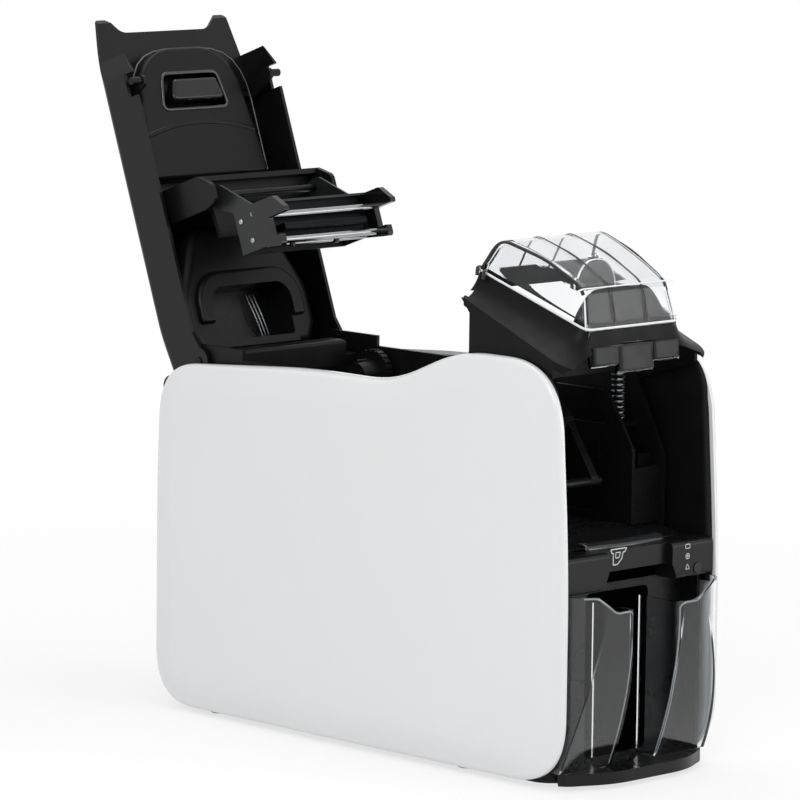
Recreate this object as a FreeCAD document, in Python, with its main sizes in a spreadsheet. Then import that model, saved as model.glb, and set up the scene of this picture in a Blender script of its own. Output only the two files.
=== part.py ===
import FreeCAD, Part
import Sketcher
import math
import os
import re
from types import SimpleNamespace

# Identity card printer, drawn in millimetres as it stands in the photograph: the big top
# cover is swung up on its rear hinge with the print head hanging inside it, and the
# small clear cover of the card feeder is tipped up over the front.
# Frame: X across the machine, front towards -Y, +Z up, floor at z = 0, X = 0 in the middle.

os.makedirs("parts", exist_ok=True)
doc = FreeCAD.newDocument("card_printer")

# Driving dimensions. A text that starts with "=" is worked out by the sheet itself.
# Names ending in _y or _z are places in the frame, _e and _n are places on the closed
# top cover: e forward from its hinge line, n upward from it.
SIZES = {
    # Fits shared by many pieces
    "cut_over": "1",
    "run_gap": "0.05",
    "seat_gap": "0.15",
    "move_gap": "1",
    # White side panels
    "panel_front_y": "-190",
    "panel_rear_y": "186.5",
    "panel_foot_z": "3.5",
    "hump_z": "267.5",
    "panel_inner_x": "67.5",
    "side_gap": "1.5",
    "panel_depth": "11.5",
    "panel_bow": "4",
    "panel_wall": "2.6",
    "panel_round": "6.5",
    "front_lean": "8.5",
    "front_lean_z": "140",
    "front_foot_round": "45",
    "rear_foot_round": "40",
    "front_top_round": "27",
    "rear_top_round": "22",
    "rear_lean": "3",
    "rear_lean_z": "160",
    "hump_inset_share": "0.2",
    "saddle_z": "242",
    "saddle_front_y": "-38",
    "saddle_rear_y": "40",
    "rear_top_z": "231.5",
    "hump_rear_y": "-98",
    "hump_round": "34",
    "long_round": "220",
    "panel_boss_reach": "5",
    "panel_boss_radius": "5",
    # Moulded chassis walls
    "wall_thick": "2.5",
    "wall_outer_x": "=panel_inner_x - panel_boss_reach",
    "wall_inner_x": "=wall_outer_x - wall_thick",
    "wall_foot_z": "9",
    "wall_rear_y": "178",
    "wall_rear_top_z": "199",
    "wall_step_y": "112",
    "wall_top_z": "239",
    "wall_saddle_y": "-44",
    "deck_top_z": "262",
    "deck_rear_y": "-97",
    "deck_front_y": "-123",
    "deck_thick": "8",
    "deck_skirt": "14",
    "wall_brow_y": "-125.5",
    "wall_brow_z": "243",
    "wall_mouth_y": "-150",
    "wall_mouth_top_z": "195",
    "wall_nose_y": "-181",
    "wall_edge_round": "4",
    "cable_rear_y": "150",
    "cable_foot_z": "30",
    "cable_top_z": "56",
    # Base tray and feet
    "tray_half_x": "=panel_inner_x - side_gap",
    "tray_front_y": "-176",
    "tray_rear_y": "156",
    "heel_top_z": "34",
    "tray_foot_z": "3",
    "tray_floor": "2.5",
    "tray_side": "2.5",
    "tray_round": "16",
    "foot_radius": "8",
    "foot_inset_x": "14",
    "foot_front_y": "-92",
    "foot_rear_y": "140",
    "foot_flare": "1.5",
    # Rear cover with its sockets
    "rear_cover_y": "182.2",
    "rear_cover_thick": "2.6",
    "rear_cover_top_z": "222",
    "rear_cover_half_x": "=panel_inner_x - move_gap",
    "rear_edge_round": "6",
    "vent_count": "9",
    "vent_pitch": "9",
    "vent_width": "4",
    "vent_height": "38",
    "vent_foot_z": "120",
    "inlet_z": "=board_z + board_thick + inlet_height / 2",
    "socket_z": "=board_z + board_thick + socket_height / 2",
    "inlet_x": "-38",
    "inlet_width": "18",
    "inlet_height": "14",
    "inlet_depth": "15",
    "inlet_bore_radius": "4.5",
    "inlet_pin_radius": "1.2",
    "socket_x": "-8",
    "socket_width": "12",
    "socket_height": "11",
    "socket_depth": "16",
    "socket_tongue": "4.5",
    # Lid hinge
    "hinge_y": "151",
    "hinge_z": "235",
    "lid_open_angle": "110",
    "hinge_pin_radius": "3",
    "pin_stand": "0.8",
    "hinge_pin_out_x": "=panel_inner_x - side_gap + pin_stand",
    "hinge_head_radius": "5",
    "hinge_head_thick": "2",
    "lug_reach": "11",
    # Lid shell
    "lid_half_x": "=panel_inner_x - side_gap",
    "lid_wall": "2.5",
    "lid_top_n": "33",
    "lid_rear_e": "-26",
    "lid_rear_foot_n": "-14",
    "lid_rear_round": "17",
    "lid_rear_top_n": "25",
    "lid_bend_e": "26",
    "lid_tip_e": "244",
    "lid_tip_taper": "8",
    "lid_tip_half_x": "=lid_half_x - lid_tip_taper",
    "lid_tip_width": "9",
    "lid_shoulder_e": "200",
    "lid_notch_depth": "10",
    "lid_notch_round": "12",
    "lid_nose_mid_e": "213",
    "lid_nose_mid_n": "6",
    "lid_edge_round": "5",
    "ear_radius": "9",
    "ear_foot_e": "20",
    # Lid liner
    "liner_margin": "12",
    "liner_half_x": "=lid_half_x - liner_margin",
    "liner_rear_e": "128",
    "liner_front_e": "219",
    "liner_face_n": "17",
    "liner_wall": "2",
    "liner_round": "34",
    "liner_edge_round": "5",
    "handle_mouth_rear_e": "176",
    "handle_mouth_front_e": "200",
    "handle_mouth_rear_x": "29",
    "handle_mouth_front_x": "24",
    # Arch frame in the lid
    "arch_margin": "8",
    "arch_half_x": "=lid_half_x - arch_margin",
    "arch_neck": "23",
    "arch_top_half_x": "=arch_half_x - arch_neck",
    "arch_foot_step": "8",
    "arch_foot_half_x": "=arch_half_x - arch_foot_step",
    "arch_foot_e": "6",
    "arch_heel_e": "20",
    "arch_bend_e": "48",
    "arch_top_e": "93",
    "arch_face_n": "10.5",
    "arch_ridge_n": "6.5",
    "arch_ridge": "11",
    "arch_ridge_foot_e": "26",
    "arch_wall": "3",
    "arch_edge_round": "7",
    "arch_leg": "22",
    "arch_window_x": "=arch_half_x - arch_leg",
    "arch_window_foot_e": "14",
    "arch_window_top_e": "50",
    "arch_round": "12",
    # Head bracket
    "bracket_margin": "10",
    "bracket_half_x": "=lid_half_x - bracket_margin",
    "bracket_wall": "3.5",
    "bracket_rear_e": "95",
    "bracket_front_e": "118",
    "bracket_foot_n": "-40",
    "bracket_lip_n": "-28",
    "bracket_round": "6",
    # Print head carriage
    "carriage_margin": "10",
    "carriage_half_x": "=bracket_half_x - carriage_margin",
    "carriage_sheet": "1.6",
    "pivot_e": "104",
    "pivot_n": "-30",
    "pivot_radius": "2.5",
    "plate_rear_e": "59",
    "plate_front_e": "88",
    "plate_foot_n": "-70",
    "plate_head_n": "-44",
    "arm_width": "12",
    "cover_foot_n": "-75",
    "cap_thick": "4.5",
    "cap_tip_n": "-97",
    "cap_heel_n": "-88",
    "cap_round": "2.4",
    "cap_notch_half": "6.5",
    "head_front_e": "83",
    "head_rear_e": "62",
    "head_foot_n": "-72",
    "head_margin": "5",
    "head_half_x": "=carriage_half_x - head_margin",
    "fin_count": "7",
    "fin_gap": "1.4",
    "fin_depth": "6",
    "print_e": "69",
    "ceramic_half": "2.2",
    "ceramic_foot_n": "-80",
    "ceramic_margin": "4",
    "ceramic_half_x": "=head_half_x - ceramic_margin",
    "rod_radius": "2.4",
    "rod_front_e": "77.4",
    "rod_rear_e": "60.6",
    "rod_n": "-77.5",
    "thin_rod_radius": "1.2",
    "thin_rod_e": "59.5",
    "thin_rod_n": "-68",
    "tub_edge_round": "3.2",
    "head_spring_x": "=head_half_x - head_margin",
    "head_spring_e": "84",
    "head_spring_seat_n": "-24",
    # Lid latch
    "latch_e": "184",
    "latch_n": "24",
    "latch_radius": "2.5",
    "latch_half_x": "=lid_half_x - move_gap",
    "hook_margin": "10",
    "hook_x": "=lid_half_x - hook_margin",
    "hook_thick": "2.8",
    "hook_corner_share": "0.9",
    "hook_waist_share": "0.5",
    "hook_width": "7",
    "latch_pin_e": "193",
    "latch_pin_n": "1.5",
    "latch_pin_radius": "2.6",
    "latch_pin_x": "=lid_half_x + pin_stand",
    "latch_slot_rear_e": "183",
    "latch_slot_front_e": "199",
    "latch_slot_n": "8",
    "handle_rear_e": "180.5",
    "handle_front_e": "195.5",
    "handle_margin": "5",
    "handle_rear_x": "=handle_mouth_rear_x - handle_margin",
    "handle_front_x": "=handle_mouth_front_x - handle_margin",
    "handle_face_n": "11.5",
    "handle_back_n": "19",
    "handle_wall": "2",
    "handle_round": "3",
    "handle_edge_round": "2.4",
    # Feeder cover on the front, drawn tipped up
    "feeder_y": "-30",
    "feeder_z": "220",
    "feeder_boss": "5",
    "feeder_pin_radius": "2.5",
    "cheek_outer_x": "=panel_inner_x - side_gap",
    "cheek_thick": "2.5",
    "cheek_elbow_y": "-97",
    "cheek_elbow_z": "252",
    "cheek_rear_y": "-99.5",
    "cheek_notch_z": "291",
    "cheek_front_y": "-172",
    "cheek_foot_z": "256",
    "dome_rear_y": "-92",
    "dome_rear_z": "317",
    "dome_margin": "14",
    "dome_rear_x": "=cheek_outer_x - dome_margin",
    "dome_crest_y": "-104",
    "dome_crest_z": "338",
    "dome_crown_y": "-140",
    "dome_crown_z": "327.5",
    "dome_brow_y": "-171",
    "dome_brow_z": "311",
    "dome_foot_y": "-177",
    "dome_foot_z": "285",
    "dome_crest_round": "12",
    "dome_brow_round": "9",
    "dome_side_round": "6",
    "dome_taper_share": "0.185",
    "dome_lean_share": "0.18",
    "dome_clear_wall": "2",
    "waist_rear_z": "309",
    "waist_rear_margin": "10",
    "waist_rear_x": "=cheek_outer_x - waist_rear_margin",
    "waist_front_y": "-179",
    "waist_front_z": "274",
    "waist_front_margin": "17",
    "waist_front_x": "=cheek_outer_x - waist_front_margin",
    "hem_rear_z": "301",
    "hem_front_y": "-187",
    "hem_front_z": "262",
    "hem_band": "5",
    "hem_round": "17",
    "hem_arch_z": "276",
    "hem_arch_radius": "145",
    "hem_rear_clear_z": "304",
    "lip_half_x": "40",
    "lip_foot_y": "-180",
    "lip_foot_z": "262",
    "lip_thick": "2",
    "lip_tab_half": "16",
    "lip_tab_drop": "5",
    "grip_y": "-143",
    "grip_z": "306.5",
    "grip_radius": "17",
    "grip_thick": "3",
    # Input hopper inside the mouth
    "bed_thick": "2.5",
    "bed_half_x": "33",
    "bed_rear_y": "140",
    "bed_front_y": "-112",
    "hopper_wall": "2.5",
    "hopper_top_z": "236",
    "hopper_front_y": "-146",
    "hopper_rear_y": "-58",
    "feed_lip_y": "-166",
    "feed_lip_drop": "9",
    "feed_lip_share": "0.6",
    "arm_pivot_y": "-84",
    "arm_pivot_z": "246",
    "arm_pin_radius": "2",
    "arm_half_x": "20",
    "arm_bar": "6",
    "arm_edge_share": "0.8",
    "arm_foot_y": "-128",
    "arm_foot_z": "180",
    "arm_foot_half_x": "24",
    "strip_margin": "14",
    "strip_x": "=wall_inner_x - strip_margin",
    "strip_width": "12",
    "strip_thick": "1",
    "strip_y": "=wall_mouth_y + feed_lip_drop",
    "strip_top_z": "196",
    "spring_margin": "11",
    "spring_x": "=wall_inner_x - spring_margin",
    "spring_radius": "4.2",
    "spring_wire": "0.8",
    "spring_turns": "9",
    "spring_y": "-120.5",
    "spring_foot_z": "214",
    "spring_top_z": "=deck_top_z - deck_skirt - seat_gap",
    # Rollers and gears
    "shaft_radius": "3",
    "shaft_end_x": "=wall_outer_x + 7.2",
    "platen_radius": "9",
    "platen_half_x": "31",
    "platen_y": "=hinge_y - print_e",
    "card_thick": "0.8",
    "platen_z": "=hinge_z + ceramic_foot_n - platen_radius - card_thick",
    "card_path_z": "=platen_z + platen_radius",
    "feed_y": "=platen_y - 2 * drive_span",
    "feed_radius": "=platen_radius",
    "pick_y": "-100",
    "pick_radius": "9",
    "pick_half_x": "10",
    "gear_module": "1",
    "tooth_root_share": "1.2",
    "tooth_tip_share": "0.9",
    "tooth_foot_share": "0.34",
    "tooth_head_share": "0.12",
    "gear_face": "4",
    "gear_x": "=wall_outer_x + 1.2",
    "platen_teeth": "30",
    "idler_teeth": "60",
    "pinion_teeth": "15",
    "drive_span": "36",
    "tooth_play": "0.16",
    "motor_half": "21",
    "motor_length": "32",
    "motor_boss_radius": "9",
    "pinion_shaft_radius": "2.5",
    "pick_teeth": "24",
    "pick_pinion_teeth": "12",
    "pick_motor_half": "14",
    # Ribbon hubs
    "hub_radius": "17",
    "hub_thick": "5",
    "hub_core_radius": "10",
    "hub_core_length": "14",
    "hub_margin": "4.5",
    "hub_x": "=wall_inner_x - hub_margin",
    "hub_knurl_count": "24",
    "hub_knurl": "0.9",
    "hub_axle_radius": "2.5",
    "supply_y": "108",
    "supply_z": "221",
    "takeup_y": "6",
    "takeup_z": "219",
    # Hood over the rear wiring, front bezel, output bin
    "hood_margin": "13",
    "hood_half_x": "=wall_inner_x - hood_margin",
    "hood_front_y": "128",
    "hood_rear_y": "143",
    "hood_top_z": "243",
    "hood_foot_z": "226",
    "hood_step_z": "233",
    "hood_wall": "2.5",
    "bezel_front_y": "-188",
    "bezel_rear_y": "-170",
    "bezel_top_z": "146.4",
    "bezel_foot_z": "123",
    "bezel_half_x": "=panel_inner_x - move_gap",
    "bezel_recess": "5",
    "bezel_block_x": "29",
    "bezel_round": "3",
    "bezel_middle_z": "133.5",
    "bezel_slant": "5",
    "exit_half_x": "28.5",
    "button_margin": "14.5",
    "button_x": "=bezel_half_x - button_margin",
    "button_z": "128.5",
    "button_radius": "3.4",
    "button_stand": "0.6",
    "button_depth": "6",
    "button_travel": "0.8",
    "bin_front_y": "-203.5",
    "bin_mid_y": "-199",
    "bin_mid_z": "60",
    "bin_side_y": "-184",
    "bin_back_y": "-168",
    "bin_step_z": "112",
    "bin_outer_x": "=panel_inner_x - side_gap",
    "bin_shoulder_step": "13",
    "bin_shoulder_x": "=bin_outer_x - bin_shoulder_step",
    "bin_neck_step": "16",
    "bin_step_x": "=bin_shoulder_x - bin_neck_step",
    "bin_top_z": "=bezel_foot_z - seat_gap",
    "bin_foot_z": "=base_top_z + seat_gap",
    "bin_inner_x": "20",
    "bin_wall": "2",
    "bin_round": "20",
    "bin_inner_round": "5",
    "base_front_y": "-200",
    "base_back_y": "-120",
    "base_top_z": "10.6",
    "base_back_top_z": "118",
    "base_round": "30",
    # Electronics
    "board_margin": "8",
    "board_half_x": "=wall_inner_x - board_margin",
    "board_front_y": "96",
    "board_rear_y": "178",
    "board_z": "44",
    "board_thick": "1.6",
    "chip_size": "18",
    "chip_height": "2.4",
    "chip_pitch_share": "1.4",
    "chip_depth_share": "0.6",
    "standoff_radius": "3",
    # Places worked out from the sizes above
    "lug_foot_z": "=hinge_z - lug_reach",
    "lug_top_z": "=hinge_z + lug_reach",
    "lug_rear_y": "=hinge_y + lug_reach",
    "rear_cover_depth": "=0 - rear_cover_y - rear_cover_thick",
    "vent_start_x": "=vent_pitch * (vent_count - 1) / 2 + vent_width / 2",
    "vent_end_x": "=vent_start_x - vent_width",
    "vent_top_z": "=vent_foot_z + vent_height",
    "gear_span": "=gear_module * (platen_teeth + idler_teeth) / 2",
    "idler_y": "=platen_y - drive_span",
    "idler_z": "=platen_z - sqrt(gear_span * gear_span - drive_span * drive_span)",
    "pinion_y": "=idler_y",
    "pinion_z": "=idler_z - gear_module * (idler_teeth + pinion_teeth) / 2",
    "pick_motor_z": "=platen_z - gear_module * (pick_teeth + pick_pinion_teeth) / 2",
}

sheet = doc.addObject("Spreadsheet::Sheet", "Sizes")
for row, (alias, text) in enumerate(SIZES.items(), start=1):
    sheet.set("A%d" % row, alias)
    sheet.set("B%d" % row, text)
    sheet.setAlias("B%d" % row, alias)
doc.recompute()
v = SimpleNamespace(**{alias: float(sheet.get(alias)) for alias in SIZES})
V = FreeCAD.Vector
EAST = V(1, 0, 0)
NORTH = V(0, 1, 0)
UP = V(0, 0, 1)
kept = []


# Helpers for outlines and solids
# The three drawing planes: (u, w) in the plane and d along its normal.
PLANES = {
    "x": (EAST, lambda u, w, d: V(d, u, w)),
    "y": (NORTH, lambda u, w, d: V(u, d, w)),
    "z": (UP, lambda u, w, d: V(u, w, d)),
}


def outline(axis, points, radii, depth):
    """Closed wire through the points, each corner rounded by its own radius."""
    to_space = PLANES[axis][1]
    flat = [V(u, w, 0) for u, w in points]
    stops = []
    for index, corner in enumerate(flat):
        before = flat[index - 1] - corner
        after = flat[(index + 1) % len(flat)] - corner
        turn = before.getAngle(after)
        radius = radii[index] if radii else 0
        reach = radius / math.tan(turn / 2) if radius else 0
        before.normalize()
        after.normalize()
        if reach < 1e-6:
            stops.append([corner])
            continue
        middle = before + after
        middle.normalize()
        centre = corner + middle * (radius / math.sin(turn / 2))
        stops.append([corner + before * reach, centre - middle * radius, corner + after * reach])
    edges = []
    for index, stop in enumerate(stops):
        here = [to_space(p.x, p.y, depth) for p in stop]
        following = to_space(stops[(index + 1) % len(stops)][0].x, stops[(index + 1) % len(stops)][0].y,
                             depth)
        if len(here) == 3:
            edges.append(Part.Arc(*here).toShape())
        if (following - here[-1]).Length > 1e-6:
            edges.append(Part.makeLine(here[-1], following))
    return Part.Wire(edges)


def slab(axis, points, low, high, radii=None):
    """Solid of an outline pushed along its axis from low to high."""
    face = Part.Face(outline(axis, points, radii, low))
    return face.extrude(PLANES[axis][0] * (high - low))


def block(x0, x1, y0, y1, z0, z1):
    return Part.makeBox(x1 - x0, y1 - y0, z1 - z0, V(x0, y0, z0))


def rod(radius, x0, x1, y, z):
    """Cylinder along X."""
    return Part.makeCylinder(radius, x1 - x0, V(x0, y, z), EAST)


def mirrored(shape):
    return shape.mirror(V(0, 0, 0), EAST)


def both(shape):
    return [shape, mirrored(shape)]


def joined(shapes):
    result = shapes[0].multiFuse(shapes[1:]) if len(shapes) > 1 else shapes[0]
    return result.removeSplitter()


def rounded_edges(shape, radius, wanted):
    edges = [edge for edge in shape.Edges if wanted(edge)]
    return shape.makeFillet(radius, edges) if edges else shape


def add_shape(label, shape, placement=None):
    """Keep a sub-part whose form needs a computed shape."""
    part = doc.addObject("Part::Feature", label)
    part.Label = label
    if placement is not None:
        part.Shape = shape
        part.Placement = placement
    else:
        part.Shape = shape
    kept.append(part)
    return part


def formula(text):
    """Expression in which every bare word of at least two letters is a cell of the sheet."""
    return re.sub(r"\b(?!sin\b|cos\b)[a-z][a-z_]+\b", lambda word: "Sizes." + word.group(0), text)


def bind(item, **expressions):
    """Tie properties of an item to cells of the sheet; dots in a path are written __."""
    for path, text in expressions.items():
        item.setExpression(path.replace("__", "."), formula(text))


def keep(item, label):
    item.Label = label
    kept.append(item)
    return item


def x_cylinder(name, radius, low_x, high_x, y, z):
    """Cylinder along X, all of it worked out by the sheet."""
    item = doc.addObject("Part::Cylinder", name)
    item.Placement = FreeCAD.Placement(V(0, 0, 0), FreeCAD.Rotation(NORTH, 90))
    bind(item, Radius=radius, Height="(%s) - (%s)" % (high_x, low_x))
    bind(item, Placement__Base__x=low_x, Placement__Base__y=y, Placement__Base__z=z)
    return item


def box(name, low_x, high_x, low_y, high_y, low_z, high_z):
    """Box between six places, all of it worked out by the sheet."""
    item = doc.addObject("Part::Box", name)
    bind(item, Length="(%s) - (%s)" % (high_x, low_x), Width="(%s) - (%s)" % (high_y, low_y),
         Height="(%s) - (%s)" % (high_z, low_z))
    bind(item, Placement__Base__x=low_x, Placement__Base__y=low_y, Placement__Base__z=low_z)
    return item


def lid_cylinder(name, radius, half_x, e, n):
    """Cylinder along X at a place of the closed cover, carried to where the open cover has it."""
    y = "hinge_y + (%s) * sin(lid_open_angle - 90) + (%s) * sin(lid_open_angle)" % (e, n)
    z = "hinge_z + (%s) * cos(lid_open_angle - 90) + (%s) * cos(lid_open_angle)" % (e, n)
    return x_cylinder(name, radius, "-(%s)" % half_x, half_x, y, z)


def combined(kind, name, items):
    """Part::MultiFuse of several items, or Part::Cut of two."""
    item = doc.addObject(kind, name)
    if kind == "Part::Cut":
        item.Base, item.Tool = items
    elif kind == "Part::Compound":
        item.Links = items
    else:
        item.Shapes = items
        item.Refine = True
    return item


def cell(name):
    return "-Sizes." + name[1:] if name.startswith("-") else "Sizes." + name


def cell_value(name):
    return -getattr(v, name[1:]) if name.startswith("-") else getattr(v, name)


def origin_plane(body, role):
    return [item for item in body.Origin.OriginFeatures if item.Role == role][0]


def sketch_on(body, name, role, corners, depth=None):
    """Polygon sketch whose corners are cells of the sheet, at a depth that is a cell too."""
    sketch = body.newObject("Sketcher::SketchObject", name)
    sketch.AttachmentSupport = [(origin_plane(body, role), "")]
    sketch.MapMode = "FlatFace"
    if depth:
        sketch.setExpression("AttachmentOffset.Base.z", cell(depth))
    places = [V(cell_value(u), cell_value(w), 0) for u, w in corners]
    for index, place in enumerate(places):
        sketch.addGeometry(Part.LineSegment(place, places[(index + 1) % len(places)]), False)
    for index in range(len(places)):
        sketch.addConstraint(Sketcher.Constraint("Coincident", index, 2, (index + 1) % len(places), 1))
    for index, (u, w) in enumerate(corners):
        for kind, name_of_cell in (("DistanceX", u), ("DistanceY", w)):
            number = sketch.addConstraint(Sketcher.Constraint(kind, -1, 1, index, 1,
                                                              cell_value(name_of_cell)))
            sketch.setExpression("Constraints[%d]" % number, cell(name_of_cell))
    return sketch


lid_turn = FreeCAD.Rotation(EAST, -v.lid_open_angle)
lid_hinge = V(0, v.hinge_y, v.hinge_z)
LID = FreeCAD.Placement(lid_hinge - lid_turn.multVec(lid_hinge), lid_turn)


def on_lid(points):
    """Points (e, n) of the closed lid as (y, z)."""
    return [(v.hinge_y - e, v.hinge_z + n) for e, n in points]


def lid_rod(radius, x0, x1, e, n):
    return rod(radius, x0, x1, v.hinge_y - e, v.hinge_z + n)


# White side panels: bowed dish mouldings with a humped top edge
def panel_points(inset):
    return [
        (v.panel_rear_y - inset, v.panel_foot_z + inset),
        (v.panel_front_y + inset, v.panel_foot_z + inset),
        (v.panel_front_y + inset, v.front_lean_z),
        (v.panel_front_y + v.front_lean + inset, v.hump_z - inset),
        (v.hump_rear_y + inset * v.hump_inset_share, v.hump_z - inset),
        (v.saddle_front_y + inset * v.hump_inset_share, v.saddle_z - inset),
        (v.saddle_rear_y, v.saddle_z - inset),
        (v.panel_rear_y - v.rear_lean - inset, v.rear_top_z - inset),
        (v.panel_rear_y - inset, v.rear_lean_z),
    ]


def panel_radii(inset):
    return [v.rear_foot_round - inset, v.front_foot_round - inset, v.long_round, v.front_top_round - inset,
            v.hump_round - inset, v.hump_round + inset, v.long_round, v.rear_top_round - inset, v.long_round]


def bowed_plan(inset):
    """Plan view of the panel: flat inside, one long arc outside."""
    outer = v.panel_inner_x + v.panel_depth - inset
    ends = outer - v.panel_bow
    middle_y = (v.panel_front_y + v.panel_rear_y) / 2
    inner = v.panel_inner_x - v.cut_over * (inset > 0)
    low, high = v.panel_front_y - v.cut_over, v.panel_rear_y + v.cut_over
    corners = [V(inner, low, 0), V(ends, low, 0), V(ends, high, 0), V(inner, high, 0)]
    wire = Part.Wire([
        Part.makeLine(corners[0], corners[1]),
        Part.Arc(corners[1], V(outer, middle_y, 0), corners[2]).toShape(),
        Part.makeLine(corners[2], corners[3]),
        Part.makeLine(corners[3], corners[0]),
    ])
    return Part.Face(wire).extrude(UP * (v.hump_z + v.cut_over))


def side_panel():
    reach = v.panel_inner_x + v.panel_depth
    skin = slab("x", panel_points(0), v.panel_inner_x, reach, panel_radii(0)).common(bowed_plan(0))
    skin = rounded_edges(skin, v.panel_round, lambda edge: edge.BoundBox.XMin > v.panel_inner_x + v.panel_bow)
    hollow = slab("x", panel_points(v.panel_wall), v.panel_inner_x - v.cut_over, reach,
                  panel_radii(v.panel_wall))
    hollow = hollow.common(bowed_plan(v.panel_wall))
    bosses = []
    for y, z in panel_boss_places():
        bosses.append(rod(v.panel_boss_radius, v.wall_outer_x, v.panel_inner_x + v.seat_gap, y, z))
        bosses.append(rod(v.panel_boss_radius, v.panel_inner_x, reach, y, z).common(skin))
    return joined([skin.cut(hollow)] + bosses)


def panel_boss_places():
    near_foot = v.wall_foot_z + 3 * v.panel_boss_radius
    half_way = (v.wall_foot_z + v.wall_rear_top_z) / 2
    return [(v.wall_rear_y - 3 * v.panel_boss_radius, near_foot),
            (v.wall_nose_y + 4 * v.panel_boss_radius, near_foot),
            (v.wall_rear_y - 3 * v.panel_boss_radius, half_way + near_foot),
            (v.wall_saddle_y, half_way - near_foot)]


right_panel = side_panel()
add_shape("right_side_panel", right_panel)
add_shape("left_side_panel", mirrored(right_panel))


# Chassis walls: two moulded side frames that carry every shaft
def padded_wall(label, sign):
    body = doc.addObject("PartDesign::Body", label + "_body")
    corners = [("tray_rear_y", "wall_foot_z"), ("wall_rear_y", "heel_top_z"),
               ("wall_rear_y", "wall_rear_top_z"),
               ("wall_step_y", "wall_rear_top_z"), ("wall_step_y", "lug_foot_z"),
               ("lug_rear_y", "lug_foot_z"), ("lug_rear_y", "lug_top_z"), ("wall_step_y", "lug_top_z"),
               ("wall_step_y", "wall_top_z"), ("wall_saddle_y", "wall_top_z"), ("deck_rear_y", "deck_top_z"),
               ("deck_front_y", "deck_top_z"), ("wall_brow_y", "wall_brow_z"),
               ("wall_mouth_y", "wall_mouth_top_z"),
               ("wall_mouth_y", "bezel_top_z"), ("bezel_rear_y", "bezel_top_z"),
               ("bezel_rear_y", "bezel_foot_z"),
               ("wall_nose_y", "bezel_foot_z"), ("wall_nose_y", "wall_foot_z")]
    depth = "wall_inner_x" if sign > 0 else "-wall_outer_x"
    sketch = sketch_on(body, label + "_outline", "YZ_Plane", corners, depth)
    doc.recompute()
    pad = body.newObject("PartDesign::Pad", label + "_pad")
    pad.Profile = sketch
    pad.setExpression("Length", "Sizes.wall_thick")
    doc.recompute()
    return body, pad


def latch_notch_ends():
    """Front and rear ends of the notch that catches the latch pins of the closed cover."""
    (rear, _), (front, _) = on_lid([(v.latch_slot_rear_e, 0), (v.latch_slot_front_e, 0)])
    return front, rear


def chassis_wall(label, sign):
    """Wall with bearing bores, the latch notch, the cable window and the pin holes of the cover."""
    body, pad = padded_wall(label, sign)
    body.Tip = pad
    doc.recompute()
    low = min(sign * v.wall_inner_x, sign * v.wall_outer_x) - v.cut_over
    high = low + v.wall_thick + 2 * v.cut_over
    tools = [rod(v.shaft_radius + v.run_gap, low, high, y, v.platen_z)
             for y in (v.platen_y, v.feed_y, v.pick_y)]
    tools.append(rod(v.hinge_pin_radius, low, high, v.hinge_y, v.hinge_z))
    tools.append(rod(v.feeder_pin_radius, low, high, v.feeder_y, v.feeder_z))
    tools.append(rod(v.arm_pin_radius, low, high, v.arm_pivot_y, v.arm_pivot_z))
    tools += [rod(v.hub_axle_radius, low, high, v.supply_y, v.supply_z),
              rod(v.hub_axle_radius, low, high, v.takeup_y, v.takeup_z)]
    front, rear = latch_notch_ends()
    tools.append(block(low, high, front, rear, v.hinge_z - v.latch_slot_n, v.deck_top_z))
    cable = [(v.cable_rear_y, v.cable_foot_z), (v.wall_saddle_y, v.cable_foot_z),
             (v.wall_saddle_y, v.cable_top_z), (v.cable_rear_y, v.cable_top_z)]
    tools.append(slab("x", cable, low, high, [v.wall_edge_round] * 4))
    if sign < 0:
        tools.append(rod(v.motor_boss_radius + v.run_gap, low, high, v.pinion_y, v.pinion_z))
        tools.append(rod(v.pinion_shaft_radius + v.seat_gap, low, high, v.pick_y, v.pick_motor_z))
        tools.append(rod(v.pinion_shaft_radius, low, high, v.idler_y, v.idler_z))
    add_shape(label, body.Shape.cut(joined(tools)))


chassis_wall("chassis_wall_right", 1)
chassis_wall("chassis_wall_left", -1)


# Base tray on four rubber feet
tray_block = box("tray_block", "-tray_half_x", "tray_half_x", "tray_front_y", "tray_rear_y",
                 "tray_foot_z", "wall_foot_z")
doc.recompute()
tray_round = doc.addObject("Part::Fillet", "tray_round")
tray_round.Base = tray_block
tray_round.Edges = [(number, v.tray_round, v.tray_round) for number, edge in
                    enumerate(tray_block.Shape.Edges, start=1)
                    if edge.BoundBox.ZLength > v.tray_floor and edge.BoundBox.XLength < v.cut_over]
tray_hollow = box("tray_hollow", "-tray_half_x + 2 * tray_side", "tray_half_x - 2 * tray_side",
                  "tray_front_y + tray_round", "tray_rear_y - tray_round", "tray_foot_z + tray_floor",
                  "wall_foot_z + cut_over")
keep(combined("Part::Cut", "tray", [tray_round, tray_hollow]), "base_tray")

feet = []
for number, (side, y) in enumerate([("", "foot_front_y"), ("-", "foot_front_y"), ("", "foot_rear_y"),
                                    ("-", "foot_rear_y")]):
    foot = doc.addObject("Part::Cone", "foot_%d" % number)
    bind(foot, Radius1="foot_radius", Radius2="foot_radius + foot_flare", Height="tray_foot_z")
    bind(foot, Placement__Base__x=side + "(tray_half_x - foot_inset_x)", Placement__Base__y=y)
    feet.append(foot)
keep(combined("Part::Compound", "feet", feet), "rubber_feet")


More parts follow.
